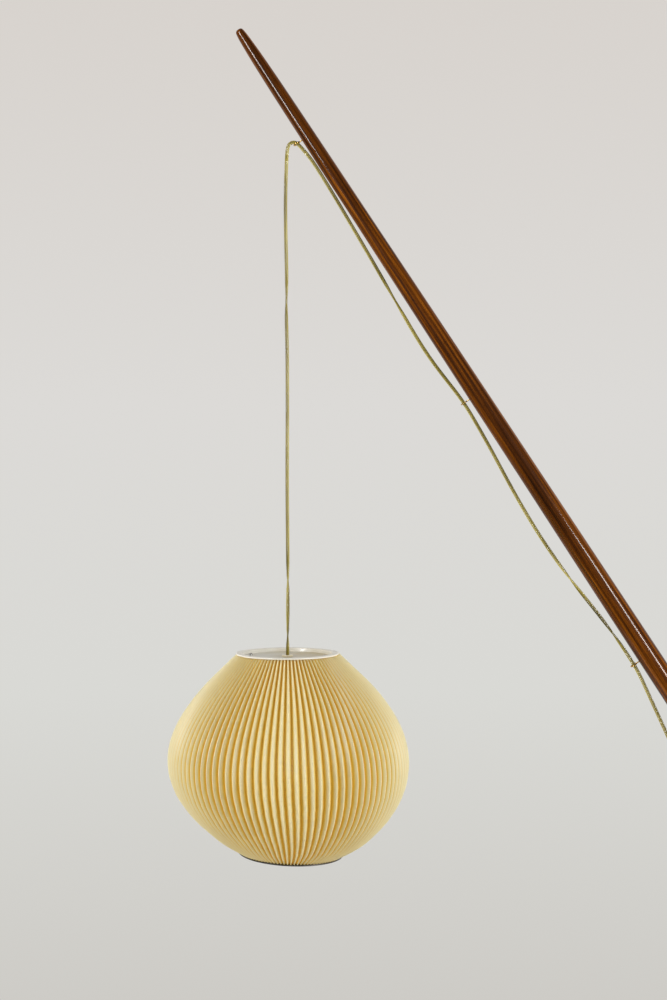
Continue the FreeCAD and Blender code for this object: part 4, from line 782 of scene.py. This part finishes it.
# Clear PVC gone gold over stranded copper: a glossy olive-gold skin with the twisted strands
# showing through it as fine slanting lines.
cord_pvc, tree, shader = material("aged clear pvc over copper")
run = add(tree, "ShaderNodeAttribute", attribute_name="along")
span = add(tree, "ShaderNodeAttribute", attribute_name="across")
# A strand shows every 1.5 mm: there are six, and they turn once in 9 mm.
lay = add(tree, "ShaderNodeMath", {0: run.outputs["Fac"], 1: 4200.0}, operation="MULTIPLY")
slant = add(
    tree, "ShaderNodeMath", {0: span.outputs["Fac"], 1: 3.5, 2: lay.outputs[0]}, operation="MULTIPLY_ADD",
)
strands = add(tree, "ShaderNodeMath", {0: slant.outputs[0]}, operation="SINE")
strand_tone = add(
    tree, "ShaderNodeMapRange", {"Value": strands.outputs[0], "From Min": -1.0, "From Max": 1.0},
)
where = add(tree, "ShaderNodeTexCoord").outputs["Object"]
# The gold has darkened unevenly, over about 70 mm. One lobe is painted paler and the other darker: a painted
# highlight on the one and painted shade on the other.
patchy = add(tree, "ShaderNodeTexNoise", {"Vector": where, "Scale": 14.0, "Detail": 1.0})
tone_with_painted_lobe_light = add(
    tree, "ShaderNodeMath", {0: span.outputs["Fac"], 1: 0.13, 2: patchy.outputs["Fac"]},
    operation="MULTIPLY_ADD",
)
tone_with_painted_lobe_light = add(
    tree, "ShaderNodeMath", {0: strand_tone.outputs[0], 1: 0.05, 2: tone_with_painted_lobe_light.outputs[0]},
    operation="MULTIPLY_ADD",
)
tone = add(
    tree, "ShaderNodeValToRGB", {"Fac": tone_with_painted_lobe_light.outputs[0]},
    stops=((0.15, "#5a5214"), (0.9, "#cabd6c"), (0.5, "#978733")),
)
tree.links.new(tone.outputs["Color"], shader.inputs["Base Color"])
shader.inputs["Roughness"].default_value = 0.34
shader.inputs["Coat Weight"].default_value = 0.35
shader.inputs["Coat Roughness"].default_value = 0.08
shader.inputs["Subsurface Weight"].default_value = 0.25
shader.inputs["Subsurface Radius"].default_value = (0.0012, 0.001, 0.0004)


def nearest_index(place, low=0):
    """The index of the cord line's point that is nearest to a place."""
    place = Vector(place)
    return min(range(low, len(cord_line)), key=lambda index: (cord_line[index] - place).length)


cut_places = [
    (-0.68795, 0, 1.9845),
    tuple((Vector(arm_points[0]) + Vector(arm_points[1])) / 2),
    tuple((Vector(arm_points[-1]) + Vector(loop_points[0])) / 2),
    (-0.0306, 0, 1.0165),
    (-0.02665, 0, 0.777),
    (-0.0264, 0, 0.1375),
]
cuts = [0]
for place in cut_places:
    cuts.append(nearest_index(place, cuts[-1]))
cuts.append(len(cord_line) - 1)

cord_names = (
    "cord_to_shade", "cord_over_eye", "cord_under_arm", "cord_slack", "cord_past_collar",
    "cord_down_pole", "cord_on_floor",
)
cord_nodes = (
    ("cord_drop",), ("cord_bend",), ("cord_arm",), ("cord_loop",), ("cord_turn",), ("cord_pole",),
    ("cord_floor", "cord_lead", "cord_coil", "cord_tail"),
)
# The bodies on both sides of a joint, and where the cord starts and stops bending with it.
cord_bends = {
    "cord_to_shade": ("cord_level", "pendant", (-0.688, 0, 1.984), (-0.688, 0, 1.950)),
    "cord_over_eye": ("arm", "cord_level", (-0.6745, 0, 2.0045), (-0.688, 0, 1.9925)),
    "cord_slack": ("arm", "bracket", (-0.185, 0, 1.24), (-0.048, 0, 1.053)),
    "cord_past_collar": ("bracket", "height_collar", (-0.0306, 0, 1.005), (-0.0277, 0, 0.86)),
    "cord_down_pole": ("height_collar", "pole", (-0.0264, 0, 0.76), (-0.0264, 0, 0.15)),
}
for name, nodes, first, last in zip(cord_names, cord_nodes, cuts, cuts[1:]):
    piece = cord_stretch(name, first, last, cord_pvc)
    if name in cord_bends:
        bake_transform(piece)
    else:
        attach(piece, body_of_node[nodes[0]])
    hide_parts(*nodes)

# ---------------------------------------------------------------------------------------
# Dish: a shallow pressed pan of cream enamelled metal with a flat flange, which closes the top
# of the shade. The cord's grip goes through it, and two screws hold the lip ring under it.

shade_low, shade_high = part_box("pleated_foil")
shade_middle = (shade_low + shade_high) / 2
dish_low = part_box("top_dish")[0]
hung_at = Matrix.Translation((shade_middle.x, shade_middle.y, dish_low.z))

dish_outline = eased_corners(
    (
        (0.0053, 0), (0.0645, 0), (0.0645, 0.005), (0.0725, 0.005), (0.0725, 0.0072), (0.0625, 0.0072),
        (0.0615, 0.0022), (0.0053, 0.0022),
    ),
    0.0007,
)


def uneven_rim(angle, radius, height):
    """The flange was trimmed by hand, so its edge wanders by a few tenths of a millimetre."""
    return 0.00035 * (math.sin(5 * angle) + 0.6 * math.sin(13 * angle + 1)) if radius > 0.07 else 0.0


def enamel_with_painted_recess_shade(name, rim_tint, recess_shade_tints):
    """Stove enamel that is clean on its flange, with its recess painted darker and yellower, more to one
    side: painted shade in the recess and a painted reflection that leaves one side paler.
    """
    made, tree, shader = material(name)
    where = add(tree, "ShaderNodeTexCoord").outputs["Object"]
    centred = add(
        tree, "ShaderNodeMapping",
        {"Vector": where, "Location": (-shade_middle.x, 0, 0), "Scale": (1, 1, 0)},
    )
    out = add(tree, "ShaderNodeVectorMath", {0: centred.outputs[0]}, operation="LENGTH")
    on_rim = add(
        tree, "ShaderNodeMapRange", {"Value": out.outputs["Value"], "From Min": 0.058, "From Max": 0.064},
    )
    # The painted shade in the recess is cloudy over about 30 mm.
    cloudy = add(tree, "ShaderNodeTexNoise", {"Vector": where, "Scale": 35.0, "Detail": 4.0})
    sideways = add(tree, "ShaderNodeSeparateXYZ", {0: centred.outputs[0]})
    # From one side of the 120 mm recess to the other the share goes from 0 to 1.
    painted_shade_share = add(
        tree, "ShaderNodeMath", {0: sideways.outputs["X"], 1: 8.0, 2: cloudy.outputs["Fac"]},
        operation="MULTIPLY_ADD",
    )
    # Painted shade and reflection: the recess is darker and yellower than the flange, and paler to one side.
    recess = add(tree, "ShaderNodeValToRGB", {"Fac": painted_shade_share.outputs[0]}, stops=recess_shade_tints)
    tone = add(
        tree, "ShaderNodeMix", {0: on_rim.outputs[0], 6: recess.outputs["Color"], 7: colour(rim_tint)},
        data_type="RGBA",
    )
    tree.links.new(tone.outputs[2], shader.inputs["Base Color"])
    pitted = add(
        tree, "ShaderNodeBump", {"Height": cloudy.outputs["Fac"], "Strength": 0.15, "Distance": 0.0005},
    )
    tree.links.new(pitted.outputs[0], shader.inputs["Normal"])
    shader.inputs["Roughness"].default_value = 0.38
    shader.inputs["Coat Weight"].default_value = 0.25
    return made


# Cream stove enamel on metal: satin gloss, clean at the rim, and painted darker and yellower in the recess
# as painted shade.
enamel = enamel_with_painted_recess_shade("cream stove enamel", "#f0ece0", ((0.2, "#cdcabc"), (0.9, "#bba97c")))
dish = turned("enamel_dish", dish_outline, enamel, hung_at, around=160, swell=uneven_rim)
stands_for(dish, "white_plastic", "top_dish")
finish_nodes(enamel, "top_ring")

# ---------------------------------------------------------------------------------------
# Foil: one sheet of translucent pale-yellow vinyl, scored and folded into a hundred sharp
# pleats. It is laced tight at both ends, so that it swells between them.

pleats = 100
pleat_side = 0.0076
foil_thick = 0.0004
# The pleats' sides slant, so on the way to the shade's middle the foil is 1.6 times as thick.
foil_inward = 1.6 * foil_thick
foil_top = 0.074
foil_foot = 0.0745
foil_height = shade_high.z - shade_low.z
# The swelling, as share of the height and share of the full radius gained there.
foil_swell = (
    (0.0, 0.0), (0.077, 0.232), (0.136, 0.408), (0.214, 0.61), (0.313, 0.809), (0.411, 0.941),
    (0.509, 0.998), (0.607, 0.98), (0.705, 0.885), (0.804, 0.701), (0.882, 0.486), (0.941, 0.285),
    (1.0, 0.0),
)
foil_full = 0.1696
# One fold across: share of the pitch, and share of the depth, with its tips rounded.
fold_shape = (
    (0.0, 0.03), (0.05, 0.07), (0.14, 0.26), (0.265, 0.55), (0.395, 0.83), (0.453, 0.94), (0.5, 0.975),
)
fold_shape += tuple((1 - share, out) for share, out in fold_shape[-2:0:-1])


def pleat_mesh():
    """One pleat from the dish to the hoop, as two skins a foil's thickness apart."""
    form = bmesh.new()
    fold = form.verts.layers.float.new("fold")
    inside = form.verts.layers.float.new("inside")
    levels = smooth_through(foil_swell, 5)
    shares = fold_shape + ((1.0, fold_shape[0][1]),)
    skins = []
    for inward in (0.0, foil_inward):
        skin = []
        for share, swell in levels:
            ends = foil_top * (1 - share) + foil_foot * share
            crest = ends + (foil_full - ends) * swell
            pleat_depth = math.sqrt(pleat_side**2 - (crest * math.sin(math.pi / pleats)) ** 2)
            row = []
            for across, out in shares:
                angle = 2 * math.pi * across / pleats
                reach = crest - pleat_depth * (1 - out) - inward
                vertex = form.verts.new(
                    (reach * math.cos(angle), reach * math.sin(angle), -foil_height * share)
                )
                vertex[fold] = out
                vertex[inside] = 1.0 if inward else 0.0
                row.append(vertex)
            skin.append(row)
        skins.append(skin)
    outer, inner = skins
    for skin, flip in ((outer, False), (inner, True)):
        for upper, lower in zip(skin, skin[1:]):
            for left in range(len(shares) - 1):
                corners = (upper[left], lower[left], lower[left + 1], upper[left + 1])
                form.faces.new(corners[::-1] if flip else corners)
    for row, flip in ((0, False), (len(levels) - 1, True)):
        for left in range(len(shares) - 1):
            edge = (outer[row][left], outer[row][left + 1], inner[row][left + 1], inner[row][left])
            form.faces.new(edge[::-1] if flip else edge)
    made = bpy.data.meshes.new("pleat")
    form.to_mesh(made)
    form.free()
    return made


round_the_shade = bpy.data.node_groups.new("pleats round the shade", "GeometryNodeTree")
shade_inputs = (("One pleat", "Geometry"), ("Pleats", "Int"), ("Middle", "Vector"), ("Foil", "Material"))
for label, kind in shade_inputs:
    round_the_shade.interface.new_socket(label, in_out="INPUT", socket_type="NodeSocket" + kind)
round_the_shade.interface.new_socket("Shade", in_out="OUTPUT", socket_type="NodeSocketGeometry")
given = add(round_the_shade, "NodeGroupInput")
places = add(
    round_the_shade, "GeometryNodeMeshLine", {"Count": given.outputs["Pleats"], "Offset": (0, 0, 0)},
)
step = add(
    round_the_shade, "ShaderNodeMath", {0: 2 * math.pi, 1: given.outputs["Pleats"]}, operation="DIVIDE",
)
number = add(round_the_shade, "GeometryNodeInputIndex")
turn = add(
    round_the_shade, "ShaderNodeMath", {0: number.outputs[0], 1: step.outputs[0]}, operation="MULTIPLY",
)
spin = add(round_the_shade, "ShaderNodeCombineXYZ", {"Z": turn.outputs[0]})
set_round = add(
    round_the_shade, "GeometryNodeInstanceOnPoints",
    {"Points": places.outputs[0], "Instance": given.outputs["One pleat"], "Rotation": spin.outputs[0]},
)
real = add(round_the_shade, "GeometryNodeRealizeInstances", {"Geometry": set_round.outputs[0]})
joined = add(
    round_the_shade, "GeometryNodeMergeByDistance", {"Geometry": real.outputs[0], "Distance": 0.00002},
)
placed = add(
    round_the_shade, "GeometryNodeTransform",
    {"Geometry": joined.outputs[0], "Translation": given.outputs["Middle"]},
)
coated = add(
    round_the_shade, "GeometryNodeSetMaterial",
    {"Geometry": placed.outputs[0], "Material": given.outputs["Foil"]},
)
add(round_the_shade, "NodeGroupOutput", {0: coated.outputs[0]})


def grown(name, start, tree, values):
    """The plain mesh that a tree of geometry nodes makes of a starting mesh."""
    made = in_scene(name, start)
    modifier = made.modifiers.new("nodes", "NODES")
    modifier.node_group = tree
    for item in tree.interface.items_tree:
        if item.in_out == "INPUT" and item.name in values:
            modifier[item.identifier] = values[item.name]
    graph = bpy.context.evaluated_depsgraph_get()
    ready = made.evaluated_get(graph)
    result = bpy.data.meshes.new_from_object(ready, preserve_all_data_layers=True, depsgraph=graph)
    made.modifiers.clear()
    made.data = result
    return made


# Translucent vinyl foil: its skin scatters pale yellow light, and what goes through it comes out amber. Both
# tints are painted by the fold, amber in the valleys and pale at the crests: painted shade in the folds and
# a painted sheen on the crests.
foil_finish, tree, shader = material("pleated translucent vinyl")
fold = add(tree, "ShaderNodeAttribute", attribute_name="fold")
where = add(tree, "ShaderNodeTexCoord").outputs["Object"]
# The vinyl's own unevenness runs in streaks about 3 mm wide and 80 mm long.
streaks = add(tree, "ShaderNodeMapping", {"Vector": where, "Scale": (330, 330, 12)})
uneven = add(tree, "ShaderNodeTexNoise", {"Vector": streaks.outputs[0], "Scale": 1.0, "Detail": 2.0})
# The fold share paints the foil: amber in the valleys as painted shade, pale at the crests as a painted
# sheen.
streaks_and_painted_fold_light = add(
    tree, "ShaderNodeMath", {0: uneven.outputs["Fac"], 1: 0.2, 2: fold.outputs["Fac"]},
    operation="MULTIPLY_ADD",
)
tone = add(
    tree, "ShaderNodeValToRGB", {"Fac": streaks_and_painted_fold_light.outputs[0]},
    stops=((0.1, "#eabc46"), (1.0, "#fdfcdc"), (0.34, "#f2d058"), (0.5, "#f8e682"), (0.7, "#fcf7c6")),
)
tree.links.new(tone.outputs["Color"], shader.inputs["Base Color"])
shader.inputs["Roughness"].default_value = 0.4
shader.inputs["IOR"].default_value = 1.5
# The light through the foil is painted by the fold too: amber in the valleys as painted shade, paler at the
# crests.
through = add(
    tree, "ShaderNodeValToRGB", {"Fac": streaks_and_painted_fold_light.outputs[0]},
    stops=((0.1, "#ecb92c"), (1.0, "#f7e670"), (0.5, "#f0ce3e")),
)
glow = add(tree, "ShaderNodeBsdfTranslucent", {"Color": through.outputs["Color"]})
blend = add(tree, "ShaderNodeMixShader", {0: 0.38, 1: shader.outputs[0], 2: glow.outputs[0]})
# One sheet tints the light once, so its inner skin lets all of it by.
clear = add(tree, "ShaderNodeBsdfTransparent")
skin = add(tree, "ShaderNodeAttribute", attribute_name="inside")
sheet = add(tree, "ShaderNodeMixShader", {0: skin.outputs["Fac"], 1: blend.outputs[0], 2: clear.outputs[0]})
tree.links.new(sheet.outputs[0], tree.nodes["Material Output"].inputs["Surface"])

foil = grown(
    "pleated_shade",
    pleat_mesh(),
    round_the_shade,
    {"Pleats": pleats, "Middle": (shade_middle.x, shade_middle.y, shade_high.z), "Foil": foil_finish},
)
# The hand-laced foil hangs a little askew: its lower half leans to the right, and below dip_from
# it dips there. The table has the share of the height and the lean in metres.
foil_lean = (
    (0.0, 0.0006), (0.2, 0.0012), (0.45, 0.001), (0.6, 0.0022), (0.75, 0.0045), (0.9, 0.006),
    (1.0, 0.0045),
)
foot_dip = 0.045
dip_from = 0.55
lean_line = smooth_through(foil_lean, 6)
for vertex in foil.data.vertices:
    share = (shade_high.z - vertex.co.z) / foil_height
    nearest = min(lean_line, key=lambda point: abs(point[0] - share))
    low = min(max((share - dip_from) / (1 - dip_from), 0.0), 1.0)
    vertex.co.z -= foot_dip * (vertex.co.x - shade_middle.x) * low * low
    vertex.co.x += nearest[1]
stands_for(foil, "foil", "pleated_foil")

# ---------------------------------------------------------------------------------------
# Hoop: a flat ring of dull grey sheet metal that the foil's lower edge is laced to.

# Zinc-plated sheet: dull, blotchy grey.
hoop_grey = metal("dull grey sheet metal", ((0.3, "#4a4844"), (0.75, "#7c7972")), 0.45, 0.1)
hoop_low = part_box("bottom_ring")[0]
hoop_outline = eased_corners(((0.0635, 0), (0.074, 0), (0.074, 0.0018), (0.0635, 0.0018)), 0.0004)
hoop_place = Matrix.Translation((shade_middle.x + foil_lean[-1][1], shade_middle.y, hoop_low.z))
hoop = turned(
    "foot_hoop", hoop_outline, hoop_grey, hoop_place @ Matrix.Rotation(math.atan(foot_dip), 4, "Y"),
    around=128,
)
stands_for(hoop, "grey_hoop", "bottom_ring")

# ---------------------------------------------------------------------------------------
# Lampholder and bulb: a brown moulded holder with a porcelain insert, and a frosted bulb with a
# rolled brass cap.

brown = moulded("brown moulded resin", ((0.3, "#2b1a12"), (0.7, "#3a251a")), 0.3, 0.05, coat=0.4)
finish_nodes(brown, "holder_cap", "holder_shell")
porcelain = moulded("glazed porcelain", ((0.3, "#dcdad2"), (0.7, "#e8e6e0")), 0.15, 0.02, coat=0.6)
finish_nodes(porcelain, "holder_body")
cap_low, cap_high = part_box("bulb_cap")
cap_tall = cap_high.z - cap_low.z
cap_straight = cap_tall - 0.0035


def rolled_thread(angle, radius, height):
    """The round thread rolled into a lamp cap, 3.6 mm from turn to turn."""
    threaded = radius > 0.0128 and 0.0025 < height < cap_straight - 0.001
    return 0.0005 * math.sin(angle - 2 * math.pi * height / 0.0036) - 0.0005 if threaded else 0.0


cap_outline = [(0.0126, 0), (0.0131, 0)]
cap_outline += [(0.0131, cap_straight * step / 40) for step in range(1, 41)]
cap_outline += [(0.0045, cap_tall - 0.0003), (0.004, cap_tall), (0, cap_tall), (0, cap_tall - 0.0006)]
cap_outline += [(0.0042, cap_tall - 0.0008), (0.0122, cap_straight - 0.0004)]
cap_place = Matrix.Translation((shade_middle.x, shade_middle.y, cap_low.z))
lamp_cap = turned("threaded_lamp_cap", cap_outline, brass, cap_place, around=64, swell=rolled_thread)
stands_for(lamp_cap, "brass", "bulb_cap")
glass, tree, shader = material("frosted bulb glass")
shader.inputs["Base Color"].default_value = colour("#eeeeea")
shader.inputs["Transmission Weight"].default_value = 0.35
where = add(tree, "ShaderNodeTexCoord").outputs["Object"]
# The acid frosting is uneven over 11 mm. Its pits are drawn at 0.4 mm, far coarser than real.
frosting = add(tree, "ShaderNodeTexNoise", {"Vector": where, "Scale": 90.0, "Detail": 3.0})
frosted = add(
    tree, "ShaderNodeMapRange",
    {"Value": frosting.outputs["Fac"], "From Min": 0.3, "From Max": 0.7, "To Min": 0.3, "To Max": 0.42},
)
tree.links.new(frosted.outputs[0], shader.inputs["Roughness"])
etched = add(tree, "ShaderNodeTexNoise", {"Vector": where, "Scale": 2500.0, "Detail": 1.0})
bumps = add(tree, "ShaderNodeBump", {"Height": etched.outputs["Fac"], "Strength": 0.1, "Distance": 0.00005})
tree.links.new(bumps.outputs[0], shader.inputs["Normal"])
shader.inputs["IOR"].default_value = 1.5
finish_nodes(glass, "bulb_glass")

# ---------------------------------------------------------------------------------------
# Switch and plug: ivory moulded halves held by two screws, on the cord. The cord's grip in the
# dish is of the same resin, and a strip of paper ties the coil.

ivory = moulded("ivory moulded resin", ((0.3, "#ded3b4"), (0.7, "#e9dfc4")), 0.32, 0.06, coat=0.3)
finish_nodes(ivory, "cord_grip")
finish_nodes(ivory, "switch_base", "switch_cover", "plug_body", ease=0.0012)
finish_nodes(brown, "switch_rocker", ease=0.0006)
paper = moulded("paper tie", ((0.3, "#d8cdb0"), (0.7, "#e2d9c0")), 0.8, 0.3)
finish_nodes(paper, "coil_tie")
